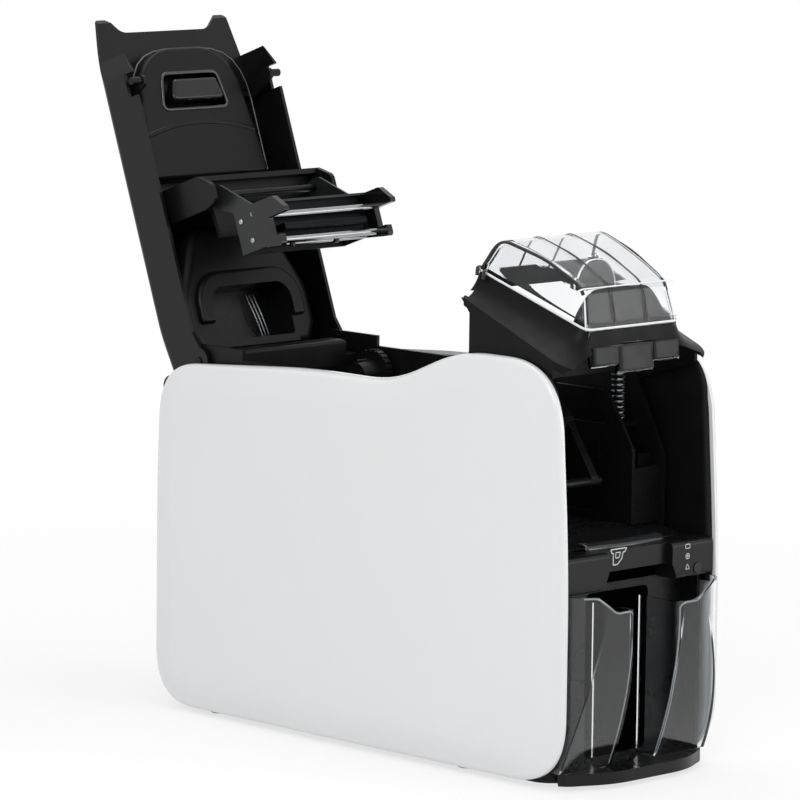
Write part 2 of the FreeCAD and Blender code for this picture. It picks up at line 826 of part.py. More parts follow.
# Rear cover: back wall with cooling slots and the mouths of the two sockets
def rear_cover():
    body = doc.addObject("PartDesign::Body", "rear_cover_body")
    corners = [("-rear_cover_half_x", "heel_top_z"), ("rear_cover_half_x", "heel_top_z"),
               ("rear_cover_half_x", "rear_cover_top_z"), ("-rear_cover_half_x", "rear_cover_top_z")]
    sketch = sketch_on(body, "rear_cover_outline", "XZ_Plane", corners, "rear_cover_depth")
    doc.recompute()
    pad = body.newObject("PartDesign::Pad", "rear_cover_pad")
    pad.Profile = sketch
    pad.setExpression("Length", "Sizes.rear_cover_thick")
    doc.recompute()
    vent = [("-vent_start_x", "vent_foot_z"), ("-vent_end_x", "vent_foot_z"),
            ("-vent_end_x", "vent_top_z"), ("-vent_start_x", "vent_top_z")]
    vent_sketch = sketch_on(body, "vent_outline", "XZ_Plane", vent, "rear_cover_depth")
    doc.recompute()
    pocket = body.newObject("PartDesign::Pocket", "vent_slot")
    pocket.Profile = vent_sketch
    pocket.Type = "ThroughAll"
    pocket.Reversed = True
    doc.recompute()
    row = body.newObject("PartDesign::LinearPattern", "vent_row")
    row.Originals = [pocket]
    row.Direction = (vent_sketch, ["H_Axis"])
    row.setExpression("Length", "Sizes.vent_pitch * (Sizes.vent_count - 1)")
    row.setExpression("Occurrences", "Sizes.vent_count")
    body.Tip = row
    doc.recompute()
    low, high = v.rear_cover_y - v.cut_over, v.rear_cover_y + v.rear_cover_thick + v.cut_over
    mouths = []
    for x, z, width, height in ((v.inlet_x, v.inlet_z, v.inlet_width, v.inlet_height),
                                (v.socket_x, v.socket_z, v.socket_width, v.socket_height)):
        half_width, half_height = width / 2 + v.seat_gap, height / 2 + v.seat_gap
        mouths.append(block(x - half_width, x + half_width, low, high, z - half_height, z + half_height))
    shape = body.Shape.cut(joined(mouths))
    shape = rounded_edges(shape, v.rear_edge_round, lambda edge: edge.BoundBox.XLength < v.cut_over
                          and edge.BoundBox.ZLength < v.cut_over
                          and abs(edge.BoundBox.XMin) > v.rear_cover_half_x - v.cut_over
                          and edge.BoundBox.ZMin > v.rear_cover_top_z - v.cut_over)
    rear = v.rear_cover_y + v.rear_cover_thick
    toe_y = v.tray_rear_y + v.seat_gap
    heel = slab("x", [(v.rear_cover_y, v.heel_top_z + v.rear_cover_thick),
                      (rear, v.heel_top_z + v.rear_cover_thick),
                      (rear, v.heel_top_z), (toe_y + v.rear_cover_thick, v.tray_foot_z),
                      (toe_y, v.tray_foot_z),
                      (toe_y, v.tray_foot_z + v.rear_cover_thick)], -v.rear_cover_half_x, v.rear_cover_half_x)
    add_shape("rear_cover", joined([shape, heel]))


rear_cover()


# Sockets in the rear cover: round low-voltage inlet and data socket, both seated on the board
def socket_body(x, z, width, height, depth):
    rear = v.rear_cover_y + v.rear_cover_thick
    return block(x - width / 2, x + width / 2, rear - depth, rear, z - height / 2, z + height / 2)


def power_inlet():
    rear = v.rear_cover_y + v.rear_cover_thick
    shell = socket_body(v.inlet_x, v.inlet_z, v.inlet_width, v.inlet_height, v.inlet_depth)
    mouth = Part.makeCylinder(v.inlet_bore_radius, v.inlet_depth - v.tray_floor,
                              V(v.inlet_x, rear - v.inlet_depth + v.tray_floor, v.inlet_z), NORTH)
    pin = Part.makeCylinder(v.inlet_pin_radius, v.inlet_depth - v.tray_floor,
                            V(v.inlet_x, rear - v.inlet_depth + v.cut_over, v.inlet_z), NORTH)
    return joined([shell.cut(mouth), pin])


def data_socket():
    shell = socket_body(v.socket_x, v.socket_z, v.socket_width, v.socket_height, v.socket_depth)
    inner = socket_body(v.socket_x, v.socket_z, v.socket_width - 2 * v.cut_over,
                        v.socket_height - 2 * v.cut_over, v.socket_depth)
    inner.translate(NORTH * v.tray_floor)
    tongue = socket_body(v.socket_x, v.socket_z, v.socket_tongue, v.socket_tongue,
                         v.socket_depth - v.cut_over)
    tongue.translate(-NORTH * v.cut_over)
    return joined([shell.cut(inner), tongue])


add_shape("power_inlet", power_inlet())
add_shape("data_socket", data_socket())


# Main board on four standoffs above the tray
board_plate = box("board_plate", "-board_half_x", "board_half_x", "board_front_y", "board_rear_y", "board_z",
                  "board_z + board_thick")
board_items = [board_plate]
for number, (side, y) in enumerate([("", "board_front_y + 2 * standoff_radius"),
                                    ("-", "board_front_y + 2 * standoff_radius"),
                                    ("", "board_front_y + 12 * standoff_radius"),
                                    ("-", "board_front_y + 12 * standoff_radius")]):
    leg = doc.addObject("Part::Cylinder", "standoff_%d" % number)
    bind(leg, Radius="standoff_radius", Height="board_z - tray_foot_z - tray_floor")
    bind(leg, Placement__Base__x=side + "(board_half_x - 2 * standoff_radius)", Placement__Base__y=y,
         Placement__Base__z="tray_foot_z + tray_floor")
    board_items.append(leg)
for number in range(3):
    shift = "board_front_y + %d * chip_size" % (number + 1)
    board_items.append(box("chip_%d" % number, "(%d - 1) * chip_pitch_share * chip_size" % number,
                           "(%d - 1) * chip_pitch_share * chip_size + chip_size" % number, shift,
                           shift + " + chip_depth_share * chip_size",
                           "board_z + board_thick", "board_z + board_thick + chip_height"))
keep(combined("Part::MultiFuse", "board", board_items), "main_board")


# Hinge pins of the big cover, pressed into the walls
def hinge_pin():
    pin = rod(v.hinge_pin_radius, v.wall_inner_x - v.hinge_head_thick, v.hinge_pin_out_x, v.hinge_y,
              v.hinge_z)
    head = rod(v.hinge_head_radius, v.wall_inner_x - v.hinge_head_thick, v.wall_inner_x, v.hinge_y, v.hinge_z)
    return joined([pin, head])


add_shape("hinge_pins", Part.makeCompound(both(hinge_pin())))


# Hood over the wiring in front of the hinge, a stepped hollow beam between the walls
def rear_hood():
    outer = [(-v.wall_inner_x, v.hood_foot_z), (v.wall_inner_x, v.hood_foot_z),
             (v.wall_inner_x, v.hood_step_z),
             (v.hood_half_x, v.hood_step_z), (v.hood_half_x, v.hood_top_z), (-v.hood_half_x, v.hood_top_z),
             (-v.hood_half_x, v.hood_step_z), (-v.wall_inner_x, v.hood_step_z)]
    solid = slab("y", outer, v.hood_front_y, v.hood_rear_y)
    solid = rounded_edges(solid, v.hood_wall, lambda edge: edge.BoundBox.ZMin > v.hood_top_z - v.cut_over)
    hollow = block(-v.hood_half_x + v.hood_wall, v.hood_half_x - v.hood_wall, v.hood_front_y + v.hood_wall,
                   v.hood_rear_y - v.hood_wall, v.hood_foot_z - v.cut_over, v.hood_top_z - v.hood_wall)
    return solid.cut(hollow)


add_shape("rear_hood", rear_hood())


# Shell of the big cover, drawn closed and then swung up with everything it carries
def lid_room():
    """The hollow under the skin of the cover."""
    inner = on_lid([(v.lid_rear_e + v.lid_wall, v.lid_rear_foot_n - v.cut_over),
                    (v.lid_rear_e + v.lid_wall, v.lid_rear_top_n - v.lid_wall),
                    (v.lid_bend_e, v.lid_top_n - v.lid_wall), (v.lid_tip_e + v.lid_wall,
                                                               v.lid_top_n - v.lid_wall),
                    (v.lid_tip_e + v.lid_wall, v.lid_rear_foot_n - v.cut_over)])
    return slab("x", inner, v.lid_wall - v.lid_half_x, v.lid_half_x - v.lid_wall,
                [0, v.lid_rear_round - v.lid_wall, v.long_round / 2, 0, 0])


def lid_shell():
    top_rear = (v.lid_rear_e, v.lid_rear_top_n)
    side = on_lid([(v.lid_rear_e, v.lid_rear_foot_n), top_rear, (v.lid_bend_e, v.lid_top_n),
                   (v.lid_tip_e, v.lid_top_n), (v.lid_nose_mid_e, v.lid_nose_mid_n), (v.lid_shoulder_e, 0),
                   (v.ear_foot_e, 0), (v.lid_rear_e + v.lid_wall, v.lid_rear_foot_n)])
    radii = [0, v.lid_rear_round, v.long_round / 2, 0, v.lid_notch_round, 0, 0, 0]
    solid = slab("x", side, -v.lid_half_x, v.lid_half_x, radii)
    solid = rounded_edges(solid, v.lid_edge_round, lambda edge: edge.BoundBox.XLength < v.run_gap
                          and edge.BoundBox.ZMin > v.hinge_z + v.ear_radius
                          and edge.BoundBox.YMax > v.hinge_y - v.lid_bend_e - v.drive_span * 5)
    tip_y, shoulder_y = v.hinge_y - v.lid_tip_e, v.hinge_y - v.lid_shoulder_e
    notch_x = v.lid_tip_half_x - v.lid_tip_width
    plan = [(v.lid_half_x, v.panel_rear_y), (v.lid_half_x, shoulder_y), (v.lid_tip_half_x, tip_y),
            (notch_x, tip_y),
            (notch_x - v.lid_notch_depth, tip_y + v.lid_notch_depth)]
    plan += [(-x, y) for x, y in reversed(plan)]
    plan_radii = [0, v.liner_round, v.cap_round, v.cap_round, v.lid_notch_round]
    solid = solid.common(slab("z", plan, 0, v.hump_z + v.drive_span, plan_radii + plan_radii[::-1]))
    ears = both(lid_rod(v.ear_radius, v.lid_half_x - v.lid_wall, v.lid_half_x, 0, 0))
    web = slab("x", on_lid([(-v.ear_radius, 0), (v.ear_foot_e, 0), (v.ear_foot_e, v.ear_radius),
                            (-v.ear_radius, v.ear_radius)]), v.lid_half_x - v.lid_wall, v.lid_half_x)
    bores = both(lid_rod(v.hinge_pin_radius + v.run_gap, v.wall_outer_x, v.panel_inner_x, 0, 0))
    bores.append(lid_rod(v.latch_radius + v.run_gap, -v.latch_half_x - v.seat_gap,
                         v.latch_half_x + v.seat_gap,
                         v.latch_e, v.latch_n))
    slots = both(slab("x", on_lid([(v.latch_slot_rear_e, -v.cut_over), (v.latch_slot_front_e, -v.cut_over),
                                   (v.latch_slot_front_e, v.latch_slot_n),
                                   (v.latch_slot_rear_e, v.latch_slot_n)]),
                      v.wall_outer_x, v.panel_inner_x))
    return joined([solid.cut(lid_room())] + ears + both(web)).cut(joined(bores + slots))


def lid_tub(plan, radii, face_n, wall, edge_round):
    """Shallow moulding whose rim meets the skin of the cover and whose face looks into the machine."""
    skin_n = v.lid_top_n - v.lid_wall
    outer = slab("z", plan, v.hinge_z + face_n, v.hinge_z + skin_n, radii)
    outer = rounded_edges(outer, edge_round, lambda edge: edge.BoundBox.ZMax < v.hinge_z + face_n + v.run_gap)
    face = Part.Face(outline("z", plan, radii, v.hinge_z + face_n + wall))
    inner = face.makeOffset2D(-wall).extrude(UP * (skin_n - face_n))
    return outer.cut(inner)


def lid_plan(points):
    """Plan points (x, e) of one half, front to rear, completed with their mirror images."""
    half = [(x, v.hinge_y - e) for x, e in points]
    return half + [(-x, y) for x, y in reversed(half)]


def lid_liner():
    plan = lid_plan([(v.liner_half_x - v.lid_notch_round, v.liner_front_e), (v.liner_half_x, v.liner_rear_e)])
    tub = lid_tub(plan, [v.liner_round, v.liner_edge_round, v.liner_edge_round, v.liner_round],
                  v.liner_face_n,
                  v.liner_wall, v.tub_edge_round)
    mouth = lid_plan([(v.handle_mouth_front_x, v.handle_mouth_front_e),
                      (v.handle_mouth_rear_x, v.handle_mouth_rear_e)])
    opening = slab("z", mouth, v.hinge_z, v.hinge_z + v.liner_face_n + 2 * v.liner_wall, [v.handle_round] * 4)
    bore = lid_rod(v.latch_radius + v.run_gap, -v.lid_half_x, v.lid_half_x, v.latch_e, v.latch_n)
    return tub.cut(joined([opening, bore]))


def arch_frame():
    """Hollow arch with a raised ridge round its window."""
    plan = lid_plan([(v.arch_top_half_x, v.arch_top_e), (v.arch_half_x, v.arch_bend_e),
                     (v.arch_half_x, v.arch_heel_e),
                     (v.arch_foot_half_x, v.arch_foot_e)])
    radii = [v.arch_round, v.hump_round, v.arch_round, v.arch_wall]
    tub = lid_tub(plan, radii + radii[::-1], v.arch_face_n, v.arch_wall, v.arch_edge_round)
    window = lid_plan([(v.arch_window_x, v.arch_window_top_e), (v.arch_window_x, v.arch_window_foot_e)])
    window_radii = [v.arch_round, v.arch_wall, v.arch_wall, v.arch_round]
    ridge_plan = lid_plan([(v.arch_window_x + v.arch_ridge, v.arch_window_top_e + v.arch_ridge),
                           (v.arch_window_x + v.arch_ridge, v.arch_ridge_foot_e)])
    ridge_radii = [v.arch_round + v.arch_ridge, v.arch_wall, v.arch_wall, v.arch_round + v.arch_ridge]
    ridge = slab("z", ridge_plan, v.hinge_z + v.arch_ridge_n, v.hinge_z + v.arch_face_n + v.arch_wall,
                 ridge_radii)
    ridge = rounded_edges(ridge, v.arch_wall,
                          lambda edge: edge.BoundBox.ZMax < v.hinge_z + v.arch_ridge_n + v.run_gap)
    wall_plan = lid_plan([(v.arch_window_x + v.arch_wall, v.arch_window_top_e + v.arch_wall),
                          (v.arch_window_x + v.arch_wall, v.arch_foot_e + v.arch_wall)])
    inner_wall = slab("z", wall_plan, v.hinge_z + v.arch_face_n, v.hinge_z + v.lid_top_n,
                      [v.arch_round + v.arch_wall, 0, 0, v.arch_round + v.arch_wall])
    opening = slab("z", window, v.hinge_z, v.hinge_z + v.lid_top_n, window_radii)
    return joined([tub, ridge, inner_wall]).common(lid_room()).cut(opening)


def head_bracket():
    skin_n = v.lid_top_n - v.lid_wall
    cheek = slab("x", on_lid([(v.bracket_rear_e, skin_n), (v.bracket_front_e, skin_n),
                              (v.bracket_front_e, v.bracket_lip_n),
                              (v.pivot_e + v.bracket_round, v.bracket_foot_n),
                              (v.pivot_e - v.bracket_round, v.bracket_foot_n),
                              (v.bracket_rear_e, v.pivot_n)]),
                 v.bracket_half_x - v.bracket_wall, v.bracket_half_x,
                 [0, 0, v.bracket_round, v.bracket_round, v.bracket_round / 2, v.bracket_round])
    back = slab("x", on_lid([(v.bracket_front_e - v.bracket_wall, skin_n), (v.bracket_front_e, skin_n),
                             (v.bracket_front_e, v.bracket_lip_n),
                             (v.bracket_front_e - v.bracket_wall, v.bracket_lip_n)]),
                -v.bracket_half_x, v.bracket_half_x)
    shelf = slab("x", on_lid([(v.pivot_e - v.bracket_round, v.head_spring_seat_n + v.bracket_wall),
                              (v.bracket_front_e, v.head_spring_seat_n + v.bracket_wall),
                              (v.bracket_front_e, v.head_spring_seat_n + 2 * v.bracket_wall),
                              (v.pivot_e - v.bracket_round, v.head_spring_seat_n + 2 * v.bracket_wall)]),
                 -v.bracket_half_x, v.bracket_half_x)
    ledge = slab("x", on_lid([(v.head_spring_e - v.bracket_wall * 2, v.head_spring_seat_n),
                              (v.pivot_e, v.head_spring_seat_n + v.bracket_wall),
                              (v.pivot_e, v.head_spring_seat_n + 2 * v.bracket_wall),
                              (v.head_spring_e - v.bracket_wall * 2, v.head_spring_seat_n + v.bracket_wall)]),
                 -v.head_spring_x - v.bracket_round, v.head_spring_x + v.bracket_round)
    bores = lid_rod(v.pivot_radius, -v.bracket_half_x - v.cut_over, v.bracket_half_x + v.cut_over, v.pivot_e,
                    v.pivot_n)
    return joined(both(cheek) + [back, shelf, ledge]).cut(bores)


# Print head carriage: folded sheet channel with the head, its rods and end caps
def head_carriage():
    arm = v.arm_width / 2
    side = slab("x", on_lid([(v.pivot_e + arm, v.pivot_n + arm), (v.pivot_e + arm, v.pivot_n - arm),
                             (v.plate_front_e, v.plate_foot_n + arm), (v.plate_front_e - arm, v.plate_foot_n),
                             (v.plate_rear_e, v.plate_foot_n), (v.plate_rear_e, v.plate_head_n),
                             (v.plate_front_e, v.plate_head_n), (v.pivot_e - arm, v.pivot_n + arm)]),
                v.carriage_half_x - v.carriage_sheet, v.carriage_half_x,
                [arm, arm, arm, arm / 2, arm / 2, arm / 2, arm / 2, arm / 2])
    web = slab("x", on_lid([(v.plate_front_e, v.plate_head_n), (v.plate_front_e, v.cover_foot_n),
                            (v.plate_front_e - v.carriage_sheet, v.cover_foot_n),
                            (v.plate_front_e - v.carriage_sheet, v.plate_head_n)]),
               -v.carriage_half_x, v.carriage_half_x)
    roof = slab("x", on_lid([(v.plate_front_e, v.plate_head_n), (v.plate_rear_e, v.plate_head_n),
                             (v.plate_rear_e, v.plate_head_n - v.carriage_sheet),
                             (v.plate_front_e, v.plate_head_n - v.carriage_sheet)]),
                -v.carriage_half_x, v.carriage_half_x)
    bores = lid_rod(v.pivot_radius + v.run_gap, -v.lid_half_x, v.lid_half_x, v.pivot_e, v.pivot_n)
    return joined(both(side) + [web, roof]).cut(bores)


def print_head():
    top = v.plate_head_n - v.carriage_sheet
    front = v.plate_front_e - v.carriage_sheet
    sink = slab("x", on_lid([(front, top), (front, v.head_foot_n), (v.head_rear_e, v.head_foot_n),
                             (v.head_rear_e, top)]),
                -v.head_half_x, v.head_half_x)
    pitch = (front - v.head_rear_e) / v.fin_count
    fins = [slab("x", on_lid([(v.head_rear_e + (n + 0.5) * pitch, top),
                              (v.head_rear_e + (n + 0.5) * pitch + v.fin_gap, top),
                              (v.head_rear_e + (n + 0.5) * pitch + v.fin_gap, top - v.fin_depth),
                              (v.head_rear_e + (n + 0.5) * pitch, top - v.fin_depth)]),
                 -v.lid_half_x, v.lid_half_x) for n in range(int(v.fin_count))]
    edge = slab("x", on_lid([(v.print_e + v.ceramic_half, v.head_foot_n),
                             (v.print_e + v.ceramic_half, v.ceramic_foot_n),
                             (v.print_e - v.ceramic_half, v.ceramic_foot_n),
                             (v.print_e - v.ceramic_half, v.head_foot_n)]),
                -v.ceramic_half_x, v.ceramic_half_x, [0, v.cap_round / 2, v.cap_round / 2, 0])
    return joined([sink.cut(joined(fins)), edge])


def head_cap():
    notch = v.cap_notch_half
    points = on_lid([(v.plate_front_e, v.plate_foot_n + v.cap_thick), (v.plate_front_e, v.cap_heel_n),
                     (v.head_front_e - v.cap_thick, v.cap_tip_n), (v.print_e + notch, v.cap_tip_n),
                     (v.print_e + notch, v.ceramic_foot_n), (v.print_e - notch, v.ceramic_foot_n),
                     (v.print_e - notch, v.cap_heel_n), (v.plate_rear_e - v.cap_thick, v.cap_heel_n),
                     (v.plate_rear_e, v.plate_foot_n + v.cap_thick)])
    r = v.cap_round
    cap = slab("x", points, v.carriage_half_x, v.carriage_half_x + v.cap_thick,
               [r, r, r, r / 2, r / 2, r / 2, r / 2, r, r])
    return cap


def coil(radius, wire, turns, length, base):
    """Upright compression spring: one helix of round wire above its base."""
    pitch = (length - 2 * wire) / turns
    helix = Part.makeHelix(pitch, pitch * turns, radius)
    start = V(radius, 0, 0)
    section = Part.Wire(Part.makeCircle(wire, start, V(0, 1, 0)))
    tube = Part.Wire(helix.Edges).makePipeShell([section], True, True)
    spring = Part.Solid(tube) if not isinstance(tube, Part.Solid) else tube
    spring.translate(base + UP * wire)
    return spring


add_shape("lid_shell", lid_shell(), LID)
add_shape("lid_liner", lid_liner(), LID)
add_shape("arch_frame", arch_frame(), LID)
add_shape("head_bracket", head_bracket(), LID)
add_shape("head_carriage", head_carriage(), LID)
add_shape("print_head", print_head(), LID)
add_shape("head_end_caps", Part.makeCompound(both(head_cap())), LID)
ribbon_rods = [lid_cylinder("front_rod", "rod_radius", "carriage_half_x - seat_gap", "rod_front_e", "rod_n"),
               lid_cylinder("rear_rod", "rod_radius", "carriage_half_x - seat_gap", "rod_rear_e", "rod_n"),
               lid_cylinder("thin_rod", "thin_rod_radius", "carriage_half_x - carriage_sheet - seat_gap",
                            "thin_rod_e",
                            "thin_rod_n")]
keep(combined("Part::Compound", "ribbon_rods", ribbon_rods), "guide_rods")
keep(lid_cylinder("pivot_pin", "pivot_radius", "bracket_half_x", "pivot_e", "pivot_n"), "carriage_pivot_pin")


# Lid latch: cross shaft with two hooks, their pins and the grip in the liner
def latch_hooks():
    half = v.hook_width / 2
    arm = slab("x", on_lid([(v.latch_e - half, v.latch_n + half), (v.latch_e - half, v.latch_n - half),
                            (v.latch_pin_e - half, v.latch_pin_n - half),
                            (v.latch_pin_e + half, v.latch_pin_n - half),
                            (v.latch_pin_e + half, v.latch_pin_n + half),
                            (v.latch_e + half, v.latch_n + half)]),
               v.hook_x, v.hook_x + v.hook_thick, [half * v.hook_corner_share, half * v.hook_waist_share,
                                                   half * v.hook_corner_share, half * v.hook_corner_share,
                                                   half * v.hook_waist_share, half * v.hook_corner_share])
    pin = lid_rod(v.latch_pin_radius, v.hook_x, v.latch_pin_x, v.latch_pin_e, v.latch_pin_n)
    return Part.makeCompound(both(joined([arm, pin]).cut(
        lid_rod(v.latch_radius, v.hook_x - v.cut_over, v.lid_half_x, v.latch_e, v.latch_n))))


def release_handle():
    """Pillow-shaped grip plate, hollow from behind, on two lugs round the latch shaft."""
    face, back = v.hinge_z + v.handle_face_n, v.hinge_z + v.handle_back_n
    front = (v.handle_front_x, v.handle_front_e)
    rear = (v.handle_rear_x, v.handle_rear_e)
    body = slab("z", lid_plan([front, rear]), face, back, [v.handle_round] * 4)
    body = rounded_edges(body, v.handle_edge_round, lambda edge: edge.BoundBox.ZMax < face + v.run_gap)
    cup = lid_plan([(v.handle_front_x - v.handle_wall, v.handle_front_e - v.handle_wall),
                    (v.handle_rear_x - v.handle_wall, v.handle_rear_e + v.handle_wall)])
    hollow = slab("z", cup, face + v.handle_wall, back + v.cut_over, [v.handle_round - v.cut_over] * 4)
    half = v.hook_width / 2
    lug = slab("x", on_lid([(v.latch_e + half, v.handle_face_n + v.handle_wall / 2),
                            (v.latch_e - half, v.handle_face_n + v.handle_wall / 2),
                            (v.latch_e - half, v.latch_n + half), (v.latch_e + half, v.latch_n + half)]),
               v.hook_width, v.hook_width + v.hook_thick, [0, 0, half, half])
    return joined([body.cut(hollow)] + both(lug)).cut(
        lid_rod(v.latch_radius, -v.lid_half_x, v.lid_half_x, v.latch_e, v.latch_n))


add_shape("latch_hooks", latch_hooks(), LID)
add_shape("release_handle", release_handle(), LID)
keep(lid_cylinder("latch_bar", "latch_radius", "latch_half_x", "latch_e", "latch_n"), "latch_shaft")


# Feeder cover: clear hood on a flared black skirt, drawn tipped up about its pins
def inset_path(points, inset, extend):
    """Open path moved to its left by inset with mitred corners, both ends lengthened."""
    flat = [V(u, w, 0) for u, w in points]
    steps = [(after - before).normalize() for before, after in zip(flat, flat[1:])]
    flat[0] = flat[0] - steps[0] * extend
    flat[-1] = flat[-1] + steps[-1] * extend
    moved = []
    for index, corner in enumerate(flat):
        normals = [V(-step.y, step.x, 0) for step in steps[max(index - 1, 0):index + 1]]
        mitre = (normals[0] + normals[-1]).normalize()
        corner = corner + mitre * (inset / mitre.dot(normals[0]))
        moved.append((corner.x, corner.y))
    return moved


def dome_half_x(y, z):
    """Half width of the hood, which leans in towards its top and its front."""
    return v.dome_rear_x + v.dome_taper_share * (y - v.dome_rear_y) - v.dome_lean_share * (z - v.dome_rear_z)


def dome_sides(inset):
    """Room between the two side planes of the hood."""
    low, high = v.dome_foot_z - v.drive_span, v.dome_crest_z + v.drive_span
    sections = []
    for y in (v.dome_rear_y + v.drive_span, v.dome_foot_y - v.drive_span):
        wide, narrow = dome_half_x(y, low) - inset, dome_half_x(y, high) - inset
        corners = [V(-wide, y, low), V(wide, y, low), V(narrow, y, high), V(-narrow, y, high)]
        sections.append(Part.makePolygon(corners + corners[:1]))
    return Part.makeLoft(sections, True, True)


def dome_form(inset, extend):
    """Closed form of the hood, set in by a wall and lengthened below its foot."""
    path = [(v.dome_rear_y, v.dome_rear_z), (v.dome_crest_y, v.dome_crest_z),
            (v.dome_crown_y, v.dome_crown_z),
            (v.dome_brow_y, v.dome_brow_z), (v.dome_foot_y, v.dome_foot_z)]
    radii = [0, v.dome_crest_round - inset, v.long_round, v.dome_brow_round - inset, 0]
    form = slab("x", inset_path(path, inset, extend), -v.cheek_outer_x, v.cheek_outer_x,
                radii).common(dome_sides(inset))
    return rounded_edges(form, v.dome_side_round - inset / 2,
                         lambda edge: edge.CenterOfMass.z > v.dome_foot_z + v.dome_side_round
                         and abs(edge.CenterOfMass.x) > v.grip_radius)


def lip_plate(spare):
    """Strip and finger tab of the clear moulding behind the front edge of the skirt."""
    path = [(v.dome_foot_y + v.lip_thick, v.dome_foot_z + 2 * v.lip_thick),
            (v.dome_foot_y + v.lip_thick, v.dome_foot_z),
            (v.waist_front_y + 2 * v.lip_thick, v.waist_front_z), (v.lip_foot_y + v.lip_thick, v.lip_foot_z),
            (v.lip_foot_y + v.lip_thick, v.lip_foot_z - v.lip_tab_drop)]
    thick = v.lip_thick + 2 * spare
    inner = inset_path(path, spare, spare)
    outer = inset_path(path, spare - thick, spare)
    plate = slab("x", inner + outer[::-1], -v.lip_half_x - spare, v.lip_half_x + spare)
    below = [block(low, high, v.hem_front_y - v.cut_over, v.dome_foot_y + v.drive_span,
                   v.cheek_foot_z - v.drive_span, v.lip_foot_z - spare)
             for low, high in ((-v.lip_half_x - v.drive_span, -v.lip_tab_half - spare),
                               (v.lip_tab_half + spare, v.lip_half_x + v.drive_span))]
    return plate.cut(joined(below))


def feeder_window():
    return joined([dome_form(0, 0).cut(dome_form(v.dome_clear_wall, v.dome_clear_wall)), lip_plate(0)])


def ring(rear, front, half_widths, radius, inset):
    """Rounded outline in the plane through a rear line and a front line, both along X."""
    fall = V(0, rear[0] - front[0], rear[1] - front[1])
    (rear_x, front_x), length = half_widths, fall.Length
    plan = [(rear_x - inset, -inset), (front_x - inset, inset - length)]
    plan += [(-x, y) for x, y in reversed(plan)]
    rounds = [v.wall_edge_round - inset, radius - inset, radius - inset, v.wall_edge_round - inset]
    wire = outline("z", plan, rounds, 0)
    wire.Placement = FreeCAD.Placement(V(0, *rear), FreeCAD.Rotation(EAST,
                                                                     math.degrees(math.atan2(fall.z,
                                                                                             fall.y))))
    return wire


def skirt_form(inset, band):
    """Closed form of the skirt: flared between three rings, upright below its hem."""
    foot = ring((v.dome_rear_y, v.dome_rear_z), (v.dome_foot_y, v.dome_foot_z),
                (v.dome_rear_x, dome_half_x(v.dome_foot_y, v.dome_foot_z)), v.dome_side_round, inset)
    waist = ring((v.dome_rear_y, v.waist_rear_z), (v.waist_front_y, v.waist_front_z),
                 (v.waist_rear_x, v.waist_front_x), v.dome_crest_round, inset)
    hem = ring((v.dome_rear_y, v.hem_rear_z), (v.hem_front_y, v.hem_front_z),
               (v.cheek_outer_x, v.cheek_outer_x), v.hem_round, inset)
    return Part.makeLoft([hem, waist, foot], True, False).fuse(Part.Face(hem).extrude(-UP * band))


def feeder_cheek():
    """Side plate under the hem with the arm that reaches back to the hinge pin."""
    hem_slope = (v.hem_rear_z - v.hem_front_z) / (v.dome_rear_y - v.hem_front_y)
    front_z = v.hem_front_z + hem_slope * (v.cheek_front_y - v.hem_front_y) - v.cut_over
    points = [(v.feeder_y + v.feeder_boss, v.feeder_z), (v.feeder_y - v.cut_over, v.feeder_z + v.feeder_boss),
              (v.cheek_elbow_y, v.cheek_elbow_z), (v.cheek_rear_y, v.hump_z),
              (v.cheek_rear_y, v.cheek_notch_z),
              (v.dome_rear_y, v.hem_rear_z - v.cut_over), (v.cheek_front_y, front_z),
              (v.cheek_front_y, v.cheek_foot_z), (v.feeder_y, v.feeder_z - v.feeder_boss)]
    boss_round = v.feeder_boss / 2
    radii = [boss_round, 0, v.wall_edge_round, v.wall_edge_round, 0, 0, 0, v.wall_edge_round, boss_round]
    return slab("x", points, v.cheek_outer_x - v.cheek_thick, v.cheek_outer_x, radii)


def feeder_frame():
    skirt = skirt_form(0, v.hem_band).cut(skirt_form(v.cheek_thick, v.hem_band + v.cut_over))
    inner_x = v.cheek_outer_x - v.cheek_thick
    rear_clear = block(-inner_x, inner_x, v.dome_rear_y - v.wall_edge_round, v.dome_rear_y + v.cut_over,
                       v.hem_rear_z - v.drive_span, v.hem_rear_clear_z)
    arch = Part.makeCylinder(v.hem_arch_radius, v.hem_round + v.cut_over,
                             V(0, v.hem_front_y - v.cut_over, v.hem_arch_z - v.hem_arch_radius), NORTH)
    arch = arch.common(block(-inner_x, inner_x, v.hem_front_y - v.cut_over, v.cheek_rear_y, 0,
                             v.hump_z + v.drive_span))
    bores = both(rod(v.feeder_pin_radius + v.run_gap, v.wall_outer_x, v.panel_inner_x, v.feeder_y,
                     v.feeder_z))
    solid = joined([skirt.cut(rear_clear)] + both(feeder_cheek()))
    return solid.cut(joined([arch] + bores)).cut(lip_plate(v.run_gap))


def feeder_grip():
    """Half-round finger plate that hangs under the top of the hood on a short stem."""
    disc = Part.makeCylinder(v.grip_radius, v.grip_thick, V(0, v.grip_y, v.grip_z), NORTH)
    disc = disc.cut(block(-v.grip_radius, v.grip_radius, v.grip_y, v.grip_y + v.grip_thick,
                          v.hem_rear_z - v.drive_span,
                          v.grip_z))
    stem = block(-v.grip_thick, v.grip_thick, v.grip_y, v.grip_y + v.grip_thick, v.grip_z, v.dome_crest_z)
    return joined([disc, stem]).common(dome_form(v.dome_clear_wall, 0))


